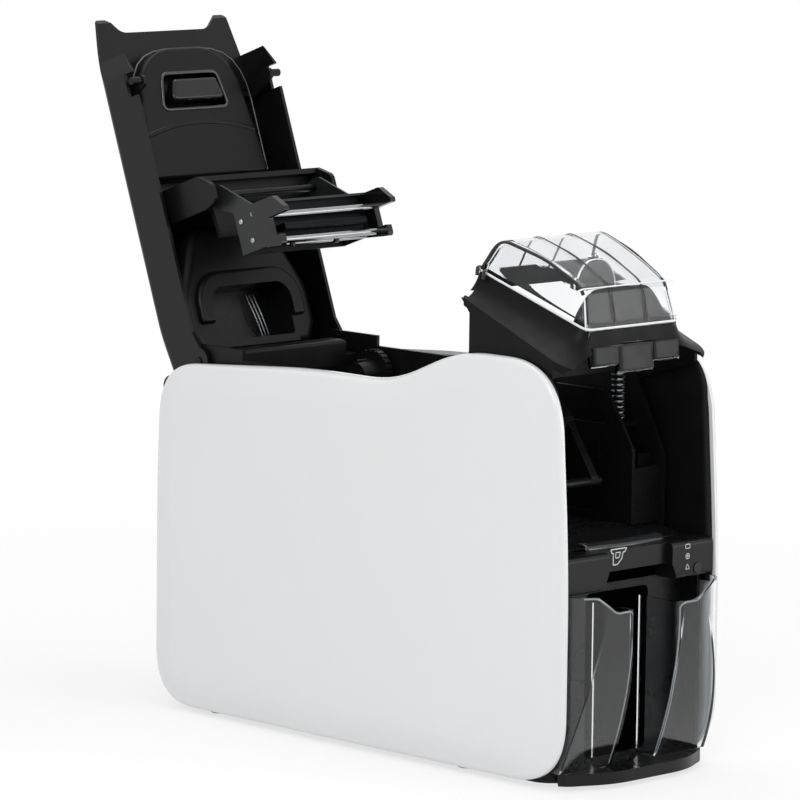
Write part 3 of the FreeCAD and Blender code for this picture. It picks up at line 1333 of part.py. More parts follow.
add_shape("feeder_frame", feeder_frame())
add_shape("feeder_window", feeder_window())
add_shape("feeder_grip", feeder_grip())
feeder_pins = [x_cylinder("feeder_pin_%d" % side, "feeder_pin_radius", low, high, "feeder_y", "feeder_z")
               for side, low, high in ((0, "wall_inner_x", "cheek_outer_x"),
                                       (1, "-cheek_outer_x", "-wall_inner_x"))]
keep(combined("Part::Compound", "feeder_pins_group", feeder_pins), "feeder_pins")


# Fixed top deck behind the feeder cover
def top_deck():
    points = [(v.deck_rear_y, v.deck_top_z), (v.deck_rear_y, v.deck_top_z - v.deck_thick),
              (v.deck_front_y + v.deck_thick / 2, v.deck_top_z - v.deck_thick),
              (v.deck_front_y + v.deck_thick / 2, v.deck_top_z - v.deck_skirt),
              (v.deck_front_y, v.deck_top_z - v.deck_skirt), (v.deck_front_y, v.deck_top_z)]
    return slab("x", points, -v.wall_inner_x, v.wall_inner_x, [0, 0, 0, 0, 0, v.wall_edge_round])


add_shape("top_deck", top_deck())


# Card bed and feeder floor
def card_bed():
    top = v.card_path_z - v.move_gap * 2
    bed = block(-v.wall_inner_x, v.wall_inner_x, v.bed_front_y, v.bed_rear_y, top - v.bed_thick, top)
    sides = both(block(v.bed_half_x, v.bed_half_x + v.bed_thick, v.bed_front_y, v.platen_y - v.drive_span,
                       top - v.cut_over, top + v.bed_thick * 2))
    mouths = [block(-v.platen_half_x - v.move_gap, v.platen_half_x + v.move_gap,
                    y - v.platen_radius - v.move_gap,
                    y + v.platen_radius + v.move_gap, top - v.deck_thick, top + v.cut_over)
              for y in (v.platen_y, v.feed_y)]
    mouths += both(block(v.carriage_half_x - 2 * v.move_gap, v.carriage_half_x + v.cap_thick + 2 * v.move_gap,
                         v.hinge_y - v.plate_front_e - v.arch_round * 2,
                         v.hinge_y - v.plate_rear_e + v.cap_thick * 2,
                         top - v.deck_thick, top + v.cut_over))
    mouths.append(block(-v.pick_half_x - v.move_gap, v.pick_half_x + v.move_gap,
                        v.pick_y - v.pick_radius - v.move_gap,
                        v.pick_y + v.pick_radius + v.move_gap, top - v.deck_thick, top + v.cut_over))
    return joined([bed] + sides).cut(joined(mouths))


def feed_chute():
    top = v.card_path_z - v.move_gap * 2
    points = [(v.bed_front_y, top), (v.wall_mouth_y + v.feed_lip_drop, top),
              (v.feed_lip_y, top - v.feed_lip_drop * v.feed_lip_share),
              (v.feed_lip_y, top - v.feed_lip_drop), (v.wall_mouth_y + v.feed_lip_drop,
                                                      top - v.bed_thick * 2),
              (v.bed_front_y, top - v.bed_thick)]
    chute = slab("x", points, -v.wall_inner_x, v.wall_inner_x,
                 [0, v.feed_lip_drop, v.cap_round / 2, 0, v.feed_lip_drop, 0])
    return chute


def hopper_guide():
    """Upright guide beside the card stack, with its foot on the chute and a flared front edge."""
    top = v.card_path_z - v.move_gap * 2
    points = [(v.hopper_rear_y, top), (v.hopper_rear_y, v.hopper_top_z), (v.deck_front_y, v.hopper_top_z),
              (v.hopper_front_y, v.hopper_top_z - v.drive_span), (v.hopper_front_y, top)]
    wall = slab("x", points, v.bed_half_x + v.bed_thick, v.bed_half_x + v.bed_thick + v.hopper_wall,
                [0, v.wall_edge_round, v.arch_round, v.wall_edge_round, 0])
    window = slab("x", [(v.hopper_rear_y - v.arch_round, v.spring_foot_z), (v.deck_front_y, v.spring_foot_z),
                        (v.deck_front_y, v.hopper_top_z - v.deck_skirt),
                        (v.hopper_rear_y - v.arch_round, v.hopper_top_z - v.deck_skirt)],
                  v.bed_half_x, v.wall_inner_x, [v.wall_edge_round] * 4)
    flange = block(v.bed_half_x + v.bed_thick, v.wall_inner_x, v.hopper_front_y,
                   v.hopper_front_y + v.hopper_wall,
                   top, v.hopper_top_z - v.drive_span - v.arch_round)
    half = v.spring_radius + 2 * v.spring_wire
    shelf = block(v.bed_half_x + v.bed_thick, v.wall_inner_x, v.spring_y - half, v.spring_y + half,
                  v.spring_foot_z - v.seat_gap - v.hopper_wall, v.spring_foot_z - v.seat_gap)
    return joined([wall.cut(window), flange, shelf])


add_shape("card_bed", card_bed())
add_shape("feed_chute", feed_chute())
add_shape("hopper_guides", Part.makeCompound(both(hopper_guide())))


# Sprung arm that presses the card stack on the pick roller
def pressure_arm():
    bar = v.arm_bar / 2
    profile = [(v.arm_pivot_y + bar, v.arm_pivot_z - bar), (v.arm_pivot_y + bar, v.arm_pivot_z + bar),
               (v.arm_pivot_y - bar, v.arm_pivot_z + bar), (v.arm_foot_y - bar, v.arm_foot_z + bar),
               (v.arm_foot_y - bar, v.arm_foot_z - bar), (v.arm_foot_y + bar, v.arm_foot_z - bar)]
    legs = both(slab("x", profile, v.arm_half_x - v.arm_bar, v.arm_half_x, [bar * v.arm_edge_share] * 6))
    shoe = rod(bar, -v.arm_foot_half_x, v.arm_foot_half_x, v.arm_foot_y, v.arm_foot_z)
    middle_y, middle_z = (v.arm_pivot_y + v.arm_foot_y) / 2, (v.arm_pivot_z + v.arm_foot_z) / 2
    bridge = block(-v.arm_half_x, v.arm_half_x, middle_y - bar, middle_y + bar, middle_z - bar * 2,
                   middle_z + bar * 2)
    bore = rod(v.arm_pin_radius + v.run_gap, -v.wall_inner_x, v.wall_inner_x, v.arm_pivot_y, v.arm_pivot_z)
    return joined(legs + [shoe, bridge]).cut(bore)


add_shape("pressure_arm", pressure_arm())
keep(x_cylinder("arm_pin", "arm_pin_radius", "-wall_outer_x", "wall_outer_x", "arm_pivot_y", "arm_pivot_z"),
     "pressure_arm_pin")
spring_length = v.spring_top_z - v.spring_foot_z
add_shape("feeder_spring", coil(v.spring_radius, v.spring_wire, v.spring_turns, spring_length,
                                V(v.spring_x, v.spring_y, v.spring_foot_z)))
strip = box("strip", "strip_x", "strip_x + strip_width", "strip_y", "strip_y + strip_thick",
            "card_path_z - 2 * move_gap", "strip_top_z")
keep(strip, "guide_strip")


# Rollers: steel shaft with a separate rubber sleeve
def roller(name, radius, half_x, y, far_x):
    keep(x_cylinder(name + "_shaft_item", "shaft_radius", "-(%s)" % far_x, "wall_outer_x - seat_gap", y,
                    "platen_z"),
         name + "_shaft")
    sleeve = x_cylinder(name + "_sleeve", radius, "-(%s)" % half_x, half_x, y, "platen_z")
    bore = x_cylinder(name + "_bore", "shaft_radius", "-(%s) - cut_over" % half_x, "%s + cut_over" % half_x,
                      y, "platen_z")
    keep(combined("Part::Cut", name + "_rubber", [sleeve, bore]), name + "_roller")


roller("platen", "platen_radius", "platen_half_x", "platen_y", "shaft_end_x")
roller("feed", "feed_radius", "platen_half_x", "feed_y", "shaft_end_x")
roller("pick", "pick_radius", "pick_half_x", "pick_y", "shaft_end_x")


# Spur gears on the left wall: pinion, idler, platen and feed gears, and the pick pair
def gear(teeth, bore, y, z, phase):
    """Spur gear with trapezoid teeth; the phase turns its first tooth."""
    pitch_radius = v.gear_module * teeth / 2
    root, tip = pitch_radius - v.tooth_root_share * v.gear_module, pitch_radius + v.tooth_tip_share * v.gear_module
    step = 2 * math.pi / teeth
    points = []
    for index in range(int(teeth)):
        middle = phase + index * step
        for share_of_step, radius in ((-v.tooth_foot_share, root), (-v.tooth_head_share, tip),
                                      (v.tooth_head_share, tip), (v.tooth_foot_share, root)):
            play = math.copysign(v.tooth_play / pitch_radius, share_of_step)
            angle = middle + share_of_step * step - play
            points.append((y + radius * math.cos(angle), z + radius * math.sin(angle)))
    wheel = slab("x", points, -v.gear_x - v.gear_face, -v.gear_x)
    return wheel.cut(rod(bore, -v.gear_x - 2 * v.gear_face, v.gear_x, y, z))


def meshing_phase(teeth, other_teeth, other_phase, direction):
    """Turn of the second gear that puts its gap on the first gear's tooth along a direction."""
    offset = (direction - other_phase) / (2 * math.pi / other_teeth)
    return direction + math.pi + (offset - 0.5) * (2 * math.pi / teeth)


add_shape("idler_gear", gear(v.idler_teeth, v.pinion_shaft_radius + v.run_gap, v.idler_y, v.idler_z, 0))
for label, y, z, teeth, bore in (("platen_gear", v.platen_y, v.platen_z, v.platen_teeth, v.shaft_radius),
                                 ("feed_gear", v.feed_y, v.platen_z, v.platen_teeth, v.shaft_radius),
                                 ("motor_pinion", v.pinion_y, v.pinion_z, v.pinion_teeth,
                                  v.pinion_shaft_radius)):
    direction = math.atan2(z - v.idler_z, y - v.idler_y)
    add_shape(label, gear(teeth, bore, y, z, meshing_phase(teeth, v.idler_teeth, 0, direction)))
add_shape("pick_gear", gear(v.pick_teeth, v.shaft_radius, v.pick_y, v.platen_z, math.pi / 2))
add_shape("pick_pinion", gear(v.pick_pinion_teeth, v.pinion_shaft_radius, v.pick_y, v.pick_motor_z,
                              meshing_phase(v.pick_pinion_teeth, v.pick_teeth, math.pi / 2, -math.pi / 2)))
keep(x_cylinder("idler_pin", "pinion_shaft_radius", "-gear_x - gear_face - seat_gap", "-wall_inner_x",
                "idler_y",
                "idler_z"), "idler_axle")


# Two stepper motors inside the left wall
def motor(half, length, y, z):
    case = slab("x", [(y - half, z - half), (y + half, z - half), (y + half, z + half), (y - half, z + half)],
                -v.wall_inner_x, length - v.wall_inner_x, [v.wall_edge_round] * 4)
    return case


drive_motor = motor(v.motor_half, v.motor_length, v.pinion_y, v.pinion_z)
boss = rod(v.motor_boss_radius, -v.wall_outer_x, -v.wall_inner_x, v.pinion_y, v.pinion_z)
add_shape("drive_motor", joined([drive_motor, boss]))
keep(x_cylinder("motor_axle", "pinion_shaft_radius", "-gear_x - gear_face - seat_gap", "-wall_outer_x",
                "pinion_y",
                "pinion_z"), "motor_shaft")
add_shape("pick_motor", motor(v.pick_motor_half, v.motor_length, v.pick_y, v.pick_motor_z))
keep(x_cylinder("pick_axle", "pinion_shaft_radius", "-gear_x - gear_face - seat_gap", "-wall_inner_x",
                "pick_y",
                "pick_motor_z"), "pick_motor_shaft")


# Ribbon hubs on the right wall
def ribbon_hub(y, z):
    disc = rod(v.hub_radius, v.hub_x - v.hub_thick, v.hub_x, y, z)
    grooves = []
    for index in range(int(v.hub_knurl_count)):
        angle = 2 * math.pi * index / v.hub_knurl_count
        grooves.append(rod(v.hub_knurl, v.hub_x - v.hub_thick - v.cut_over, v.hub_x + v.cut_over,
                           y + v.hub_radius * math.cos(angle), z + v.hub_radius * math.sin(angle)))
    core = Part.makeCone(v.hub_core_radius, v.hub_core_radius - v.hub_knurl, v.hub_core_length,
                         V(v.hub_x - v.hub_thick, y, z), -EAST)
    keys = [rod(v.hub_knurl, v.hub_x - v.hub_thick - v.hub_core_length + v.cut_over, v.hub_x - v.hub_thick,
                y + v.hub_core_radius * math.cos(angle), z + v.hub_core_radius * math.sin(angle))
            for angle in (math.radians(90), math.radians(210), math.radians(330))]
    axle = rod(v.hub_axle_radius - v.run_gap, v.hub_x - v.cut_over, v.wall_outer_x, y, z)
    return joined([disc.cut(joined(grooves)), core, axle] + keys)


add_shape("ribbon_supply_hub", ribbon_hub(v.supply_y, v.supply_z))
add_shape("ribbon_takeup_hub", ribbon_hub(v.takeup_y, v.takeup_z))


# Front bezel: two end blocks, a set-back middle over the card exit, and the power button
def front_bezel():
    profile = [(v.bezel_front_y, v.bezel_foot_z), (v.bezel_rear_y, v.bezel_foot_z),
               (v.bezel_rear_y, v.bezel_top_z),
               (v.bezel_front_y, v.bezel_top_z)]
    bar = slab("x", profile, -v.bezel_half_x, v.bezel_half_x, [v.bezel_round, 0, 0, v.bezel_round])
    recess = block(-v.bezel_block_x, v.bezel_block_x, v.bezel_front_y - v.cut_over,
                   v.bezel_front_y + v.bezel_recess,
                   v.bezel_foot_z - v.cut_over, v.bezel_top_z + v.cut_over)
    card_exit = slab("y", [(-v.bezel_block_x - v.bezel_slant, v.bezel_foot_z - v.cut_over),
                           (v.bezel_block_x + v.bezel_slant, v.bezel_foot_z - v.cut_over),
                           (v.bezel_block_x, v.bezel_middle_z), (-v.bezel_block_x, v.bezel_middle_z)],
                     v.bezel_front_y - v.cut_over, v.bezel_rear_y + v.cut_over,
                     [0, 0, v.bezel_round, v.bezel_round])
    well = Part.makeCylinder(v.button_radius + v.seat_gap, v.button_depth,
                             V(v.button_x, v.bezel_front_y, v.button_z), NORTH)
    returns = both(block(v.wall_inner_x - v.bezel_recess, v.wall_inner_x, v.bezel_rear_y - v.cut_over,
                         v.wall_mouth_y,
                         v.bezel_foot_z, v.bezel_top_z - v.bezel_recess))
    return joined([bar] + returns).cut(joined([recess, card_exit, well]))


add_shape("front_bezel", front_bezel())
button = doc.addObject("Part::Cylinder", "button_cap")
button.Placement = FreeCAD.Placement(V(0, 0, 0), FreeCAD.Rotation(EAST, -90))
bind(button, Radius="button_radius", Height="button_depth + button_stand - button_travel - seat_gap",
     Placement__Base__x="button_x", Placement__Base__y="bezel_front_y - button_stand",
     Placement__Base__z="button_z")
keep(button, "power_button")


# Output bin: two clear shells with bulging fronts, hooked in over a black base
def bin_body(inset):
    """Closed form of one shell, set in by a wall thickness."""
    top, foot = v.bin_top_z, v.bin_foot_z
    rear = v.bin_back_y + v.bin_wall
    low, high = V(0, v.bin_side_y + inset, foot), V(0, v.bin_front_y + inset, v.bin_step_z)
    crest = V(0, v.bin_front_y + inset, top)
    profile = Part.Wire([Part.Arc(low, V(0, v.bin_mid_y + inset, v.bin_mid_z), high).toShape(),
                         Part.makeLine(high, crest), Part.makeLine(crest, V(0, rear, top)),
                         Part.makeLine(V(0, rear, top), V(0, rear, foot)),
                         Part.makeLine(V(0, rear, foot), low)])
    bowed = Part.Face(profile).extrude(EAST * v.bin_outer_x)
    spare = v.cut_over * (inset > 0)
    plan = [(v.bin_inner_x + inset, v.bin_front_y + inset), (v.bin_outer_x - inset, v.bin_front_y + inset),
            (v.bin_outer_x - inset, v.bin_back_y + spare), (v.bin_inner_x + inset, v.bin_back_y + spare)]
    column = slab("z", plan, foot - spare, top + spare, [v.bin_inner_round - inset, v.bin_round - inset, 0,
                                                         0])
    return bowed.common(column)


def bin_shell():
    step = [(v.bin_inner_x - v.cut_over, v.bin_step_z), (v.bin_step_x, v.bin_step_z),
            (v.bin_shoulder_x, v.bin_top_z),
            (v.bin_shoulder_x, v.bin_top_z + v.cut_over), (v.bin_inner_x - v.cut_over,
                                                           v.bin_top_z + v.cut_over)]
    above = slab("y", step, v.bin_front_y - v.cut_over, v.panel_rear_y,
                 [0, v.bin_round, v.bin_inner_round / 2, 0, 0])
    return bin_body(0).cut(bin_body(v.bin_wall)).cut(above)


bin_right = bin_shell()
add_shape("bin_window_right", bin_right)
add_shape("bin_window_left", mirrored(bin_right))


def bin_base():
    plan = [(v.tray_half_x, v.base_back_y), (v.tray_half_x, v.bin_side_y),
            (v.tray_half_x / 2, v.base_front_y)]
    plan += [(-x, y) for x, y in reversed(plan)]
    rounds = [0, v.base_round / 2, v.base_round * 2, v.base_round * 2, v.base_round / 2, 0]
    floor = slab("z", plan, v.tray_foot_z, v.base_top_z, rounds)
    floor = floor.cut(block(-v.tray_half_x - v.cut_over, v.tray_half_x + v.cut_over,
                            v.tray_front_y - v.seat_gap,
                            v.panel_rear_y, v.tray_foot_z - v.cut_over, v.wall_foot_z))
    for side in both(block(v.wall_inner_x, v.tray_half_x + v.cut_over, v.wall_nose_y, v.panel_rear_y,
                           v.tray_foot_z,
                           v.base_back_top_z)):
        floor = floor.cut(side)
    back = block(-v.wall_inner_x, v.wall_inner_x, v.bin_back_y, v.bin_back_y + v.tray_side, v.base_top_z,
                 v.bezel_foot_z)
    window = slab("y", [(-v.exit_half_x, v.base_top_z + v.standoff_radius),
                        (v.exit_half_x, v.base_top_z + v.standoff_radius),
                        (v.exit_half_x, v.base_back_top_z), (-v.exit_half_x, v.base_back_top_z)],
                  v.bin_back_y - v.cut_over, v.bin_back_y + v.tray_side + v.cut_over, [v.wall_edge_round] * 4)
    return joined([floor, back.cut(window)])


add_shape("output_base", bin_base())


# Checks, then one file for each sub-part
doc.recompute()
for item in doc.Objects:
    if any(state in ("Invalid", "Error") for state in item.State):
        raise RuntimeError("%s did not compute: %s" % (item.Name, item.State))
for item in kept:
    if item.Shape.isNull() or not item.Shape.isValid():
        raise RuntimeError("%s has no sound shape" % item.Label)
labels = [item.Label for item in kept]
if len(set(labels)) != len(labels):
    raise RuntimeError("two sub-parts share a label")
for item in kept:
    item.Shape.exportStep("parts/%s.step" % item.Label)
    print(item.Label, "solids", len(item.Shape.Solids), "volume", round(item.Shape.Volume))
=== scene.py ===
import bmesh
import bpy
import math
import numpy as np
from mathutils import Matrix, Vector


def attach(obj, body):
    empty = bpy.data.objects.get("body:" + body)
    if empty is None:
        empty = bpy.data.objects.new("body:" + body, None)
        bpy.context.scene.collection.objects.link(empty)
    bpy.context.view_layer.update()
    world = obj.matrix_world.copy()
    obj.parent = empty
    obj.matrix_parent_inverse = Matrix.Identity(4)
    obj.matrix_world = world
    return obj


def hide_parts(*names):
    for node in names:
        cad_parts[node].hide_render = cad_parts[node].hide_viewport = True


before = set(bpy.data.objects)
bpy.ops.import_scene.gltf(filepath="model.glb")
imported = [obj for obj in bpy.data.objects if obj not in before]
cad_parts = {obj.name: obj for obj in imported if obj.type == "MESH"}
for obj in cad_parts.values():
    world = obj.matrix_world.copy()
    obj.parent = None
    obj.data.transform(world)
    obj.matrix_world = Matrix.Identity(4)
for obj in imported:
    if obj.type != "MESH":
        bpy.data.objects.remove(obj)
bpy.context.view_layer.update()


# Base tray, side frames, rear cover, deck, hood and power inlet: injection-moulded black ABS. They
# screw and snap together into the chassis that everything else hangs on. The mould was spark-eroded
# to a fine even grain, which gives a soft satin sheen with faint mottling.
def linear(code):
    """sRGB hex colour as linear RGBA."""
    srgb = np.array([int(code[at:at + 2], 16) / 255 for at in (1, 3, 5)])
    light = np.where(srgb <= 0.04045, srgb / 12.92, ((srgb + 0.055) / 1.055) ** 2.4)
    return (*light, 1.0)


def add(tree, kind, links=(), colours=(), **settings):
    """Adds one node: links are (input, source socket), colours are (input, hex code), and settings are
    the node's properties or, with _ for a space, the values of its inputs."""
    made = tree.nodes.new(kind)
    for key, value in settings.items():
        if hasattr(made, key):
            setattr(made, key, value)
        else:
            made.inputs[key.replace("_", " ")].default_value = value
    for entry, code in colours:
        made.inputs[entry].default_value = linear(code)
    for entry, source in links:
        tree.links.new(source, made.inputs[entry])
    return made


def start(name):
    """Empty material, its node tree and its object coordinates in metres."""
    material = bpy.data.materials.new(name)
    material.use_nodes = True
    tree = material.node_tree
    tree.nodes.clear()
    return material, tree, add(tree, "ShaderNodeTexCoord").outputs["Object"]


COLOUR_A, COLOUR_B, MIXED_COLOUR = 6, 7, 2      # colour sockets of a Mix node
DRIFT_MM, WIPE_MM = 60, 18                      # width of the colour drift and of the wiped patches
GRAIN_DEPTH = 0.0001
ABS_IOR = 1.53
COAT_ROUGHNESS = 0.06


def plastic(name, dark, pale, roughness, grain_mm, relief, sheen=0.5, coat=0.0):
    """Moulded plastic: slow colour drift, gloss that changes where hands wiped it, grain of the given size."""
    material, tree, place = start(name)
    drift = add(tree, "ShaderNodeTexNoise", [("Vector", place)], Scale=1000 / DRIFT_MM, Detail=3.0)
    grain = add(tree, "ShaderNodeTexNoise", [("Vector", place)], Scale=1000 / grain_mm, Detail=2.0)
    wipe = add(tree, "ShaderNodeTexNoise", [("Vector", place)], Scale=1000 / WIPE_MM, Detail=4.0)
    colour = add(tree, "ShaderNodeMix", [(0, drift.outputs["Fac"])], [(COLOUR_A, dark), (COLOUR_B, pale)],
                 data_type="RGBA")
    gloss = add(tree, "ShaderNodeMapRange", [("Value", wipe.outputs["Fac"])], interpolation_type="SMOOTHSTEP",
                From_Min=0.3, From_Max=0.7, To_Min=roughness * 0.85, To_Max=roughness * 1.15)
    bump = add(tree, "ShaderNodeBump", [("Height", grain.outputs["Fac"])], Strength=relief, Distance=GRAIN_DEPTH)
    shader = add(tree, "ShaderNodeBsdfPrincipled",
                 [("Base Color", colour.outputs[MIXED_COLOUR]), ("Roughness", gloss.outputs["Result"]),
                  ("Normal", bump.outputs["Normal"])],
                 IOR=ABS_IOR, Specular_IOR_Level=sheen, Coat_Weight=coat, Coat_Roughness=COAT_ROUGHNESS)
    add(tree, "ShaderNodeOutputMaterial", [("Surface", shader.outputs["BSDF"])])
    return material


def dress(material, *names):
    """Gives the CAD nodes their finish."""
    for name in names:
        node_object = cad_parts[name]
        node_object.data.materials.clear()
        node_object.data.materials.append(material)


black_abs = plastic("black_abs_spark_grain", "#0c0c0d", "#121213", 0.42, 0.9, 0.25, sheen=0.16)
dress(black_abs, "base_tray", "chassis_wall_right", "chassis_wall_left", "rear_cover", "top_deck", "rear_hood",
      "power_inlet")


# Rubber feet: four moulded pads of black thermoplastic rubber, pressed into the underside of the
# tray. Rubber scatters nearly all its shine, so they look dull and a little dusty.
rubber = plastic("black_moulded_rubber", "#1c1c1d", "#29292a", 0.85, 0.6, 0.5, sheen=0.25)
dress(rubber, "rubber_feet")


# Side panels: bowed dish mouldings in white ABS that hook onto bosses of the side frames. They are
# polished in the mould, so the broad face mirrors the room as soft bands. Each skin is one dish whose
# edge turns over a small round into a broad, gently sloping band and then into the bowed face.
white_abs = plastic("white_abs_high_gloss", "#e3e4e5", "#e7e8e8", 0.16, 2.5, 0.02, coat=0.25)
dress(white_abs, "right_side_panel", "left_side_panel")
SIDES = (("right", -1), ("left", 1))


def unit(vectors):
    """Vectors scaled to length 1."""
    return vectors / np.linalg.norm(vectors, axis=-1, keepdims=True)


MERGE_REACH = 2e-6
CREASE_ANGLE = math.radians(38)


def surface(name, grid, material, body, around=False, wall=0.0):
    """Piece from a grid of points in mm: around joins its last column to the first, wall thickens a sheet."""
    rows, columns = grid.shape[:2]
    index = np.arange(rows * columns).reshape(rows, columns)
    beside = np.roll(index, -1, axis=1)
    last = columns if around else columns - 1
    faces = np.stack([index[:-1, :last], beside[:-1, :last], beside[1:, :last], index[1:, :last]], axis=-1)
    mesh = bpy.data.meshes.new(name)
    mesh.from_pydata((grid.reshape(-1, 3) / 1000).tolist(), [], faces.reshape(-1, 4).tolist())
    shape = bmesh.new()
    shape.from_mesh(mesh)
    bmesh.ops.remove_doubles(shape, verts=shape.verts, dist=MERGE_REACH)
    bmesh.ops.recalc_face_normals(shape, faces=shape.faces)
    shape.to_mesh(mesh)
    shape.free()
    mesh.shade_smooth()
    mesh.set_sharp_from_angle(angle=CREASE_ANGLE)
    mesh.materials.append(material)
    piece = bpy.data.objects.new(name, mesh)
    bpy.context.scene.collection.objects.link(piece)
    if wall:
        solid = piece.modifiers.new("wall", "SOLIDIFY")
        solid.thickness, solid.offset = wall / 1000, 0.0
    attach(piece, body)
    return piece


def rounded(points, reach, closed=False, steps=7):
    """Path whose corners are quadratic arcs that start the given reach before and after each corner."""
    points = np.asarray(points, float)
    before = points + reach * unit(np.roll(points, 1, axis=0) - points)
    after = points + reach * unit(np.roll(points, -1, axis=0) - points)
    t = np.linspace(0, 1, steps)[None, :, None]
    arcs = (1 - t) ** 2 * before[:, None] + 2 * t * (1 - t) * points[:, None] + t ** 2 * after[:, None]
    if closed:
        return np.vstack([arcs.reshape(-1, 3), arcs[0, :1]])
    return np.vstack([points[:1], arcs[1:-1].reshape(-1, 3), points[-1:]])


def even_steps(path, count):
    """Closed path resampled at even steps of its length."""
    length = np.concatenate([[0], np.cumsum(np.linalg.norm(np.diff(path, axis=0), axis=1))])
    at = np.linspace(0, length[-1], count, endpoint=False)
    return np.stack([np.interp(at, length, column) for column in path.T], axis=-1)


PANEL_OUTLINE = [(186.5, 3.5), (-190.0, 3.5), (-190.0, 140.0), (-181.5, 267.5), (-97.0, 267.5), (-37.0, 242.2),
                 (40.0, 242.2), (183.0, 231.5), (186.5, 160.0)]       # (y, z) of the corners
CORNER_REACH = np.array([[38], [43], [40], [45], [24], [24], [30], [34], [30]])
PANEL_MIDDLE = np.array([0.0, 125.0])
PANEL_PLANE, SKIN_WALL = 67.5, 2.6
PANEL_DEPTH, DEPTH_LOSS, BOW_CENTRE, BOW_HALF = 11.5, 4.0, -1.75, 188.25
EDGE_ROUND, RIM_LIFT = 4.5, 2.0
BAND_WIDTH, BAND_DROP = 16.0, 3.4
OUTLINE_STEPS = 420


def full_depth(y):
    """Depth of the bowed face over its plane: greatest in the middle, less by the loss at front and rear."""
    return PANEL_DEPTH - DEPTH_LOSS * ((y - BOW_CENTRE) / BOW_HALF) ** 2


def panel_skin(side):
    """Outer skin and inner wall, each a stack of rings of the outline.

    A ring is moved inwards by d and lifted by h: h = 0 at the rim, then d and h follow a quarter round,
    then over the band the lift falls short of the full depth by drop (1 - s)^1.35, and from there the
    rings shrink to the middle and lie on the bowed face."""
    corners = np.column_stack([PANEL_OUTLINE, np.zeros(len(PANEL_OUTLINE))])
    edge = even_steps(rounded(corners, CORNER_REACH, closed=True, steps=31)[:, :2], OUTLINE_STEPS)
    along = unit(np.roll(edge, -1, axis=0) - np.roll(edge, 1, axis=0))
    inward = np.stack([-along[:, 1], along[:, 0]], axis=-1)
    inward *= np.sign(np.sum(inward * (PANEL_MIDDLE - edge), axis=1).mean())
    depth = full_depth(edge[:, 0])
    rings = [(0.0, 0.0 * depth)]
    rings += [(EDGE_ROUND * (1 - math.cos(angle)), RIM_LIFT + (depth - RIM_LIFT - BAND_DROP) * math.sin(angle))
              for angle in np.linspace(0, 0.46 * math.pi, 9)]
    rings += [(EDGE_ROUND + BAND_WIDTH * share, depth - BAND_DROP * (1 - share) ** 1.35)
              for share in np.linspace(0.08, 1.0, 12)]
    shells = []
    for wall in (0.0, SKIN_WALL):
        rows = [np.column_stack([side * (PANEL_PLANE + np.maximum(lift - wall, 0)), edge + (inset + wall) * inward])
                for inset, lift in rings]
        last = rows[-1][:, 1:]
        for share in np.linspace(0.9, 0, 10):
            place = PANEL_MIDDLE + share * (last - PANEL_MIDDLE)
            rows.append(np.column_stack([side * (PANEL_PLANE + full_depth(place[:, 0]) - wall), place]))
        shells.append(np.stack(rows))
    outer, inner = shells
    return np.concatenate([inner[::-1], outer])


OFF_AXIS = [0.3, 0.5, 0.81]      # a direction that no axis in use runs along


def turned_grid(centre, axis, profile, sides=28):
    """Body of revolution: rows of (radius, height) in mm round an axis through the centre."""
    axis = unit(np.asarray(axis, float))
    side = unit(np.cross(axis, OFF_AXIS))
    other = np.cross(axis, side)
    turn = np.linspace(0, 2 * math.pi, sides, endpoint=False)[None, :, None]
    radius, height = np.asarray(profile, float).T
    return (np.asarray(centre, float) + radius[:, None, None] * (np.cos(turn) * side + np.sin(turn) * other)
            + height[:, None, None] * axis)


BOSS = [(0.0, 0.0), (3.6, 0.0), (4.2, 0.6), (5.0, 1.2), (5.0, 11.0), (0.0, 11.0)]
BOSS_FOOT_X = 62.6
BOSS_PLACES = ((163.0, 24.0), (-161.0, 24.0), (163.0, 128.0), (-44.0, 80.0))
for label, side in SIDES:
    skin = surface("panel_skin_" + label, panel_skin(side), white_abs, "body", around=True)
    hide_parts(label + "_side_panel")
    bosses = np.vstack([turned_grid((side * BOSS_FOOT_X, y, z), (side, 0, 0), BOSS) for y, z in BOSS_PLACES])
    surface("panel_bosses_" + label, bosses, white_abs, "body", around=True)


# Main board: a green glass-epoxy board with its chips, screwed on standoffs behind the rear cover.
# The solder mask gives it an even, half-glossy green.
epoxy = plastic("green_glass_epoxy", "#164a2c", "#1d5c38", 0.35, 1.2, 0.2)
dress(epoxy, "main_board")


# Data socket: a folded shell of nickel-plated steel, soldered to the board and seen through the rear
# cover. The plating has a soft, slightly warm shine with fine rolling lines.
LINE_STRETCH = 60
TARNISH_MM = 12
LINE_DEPTH = 0.00005


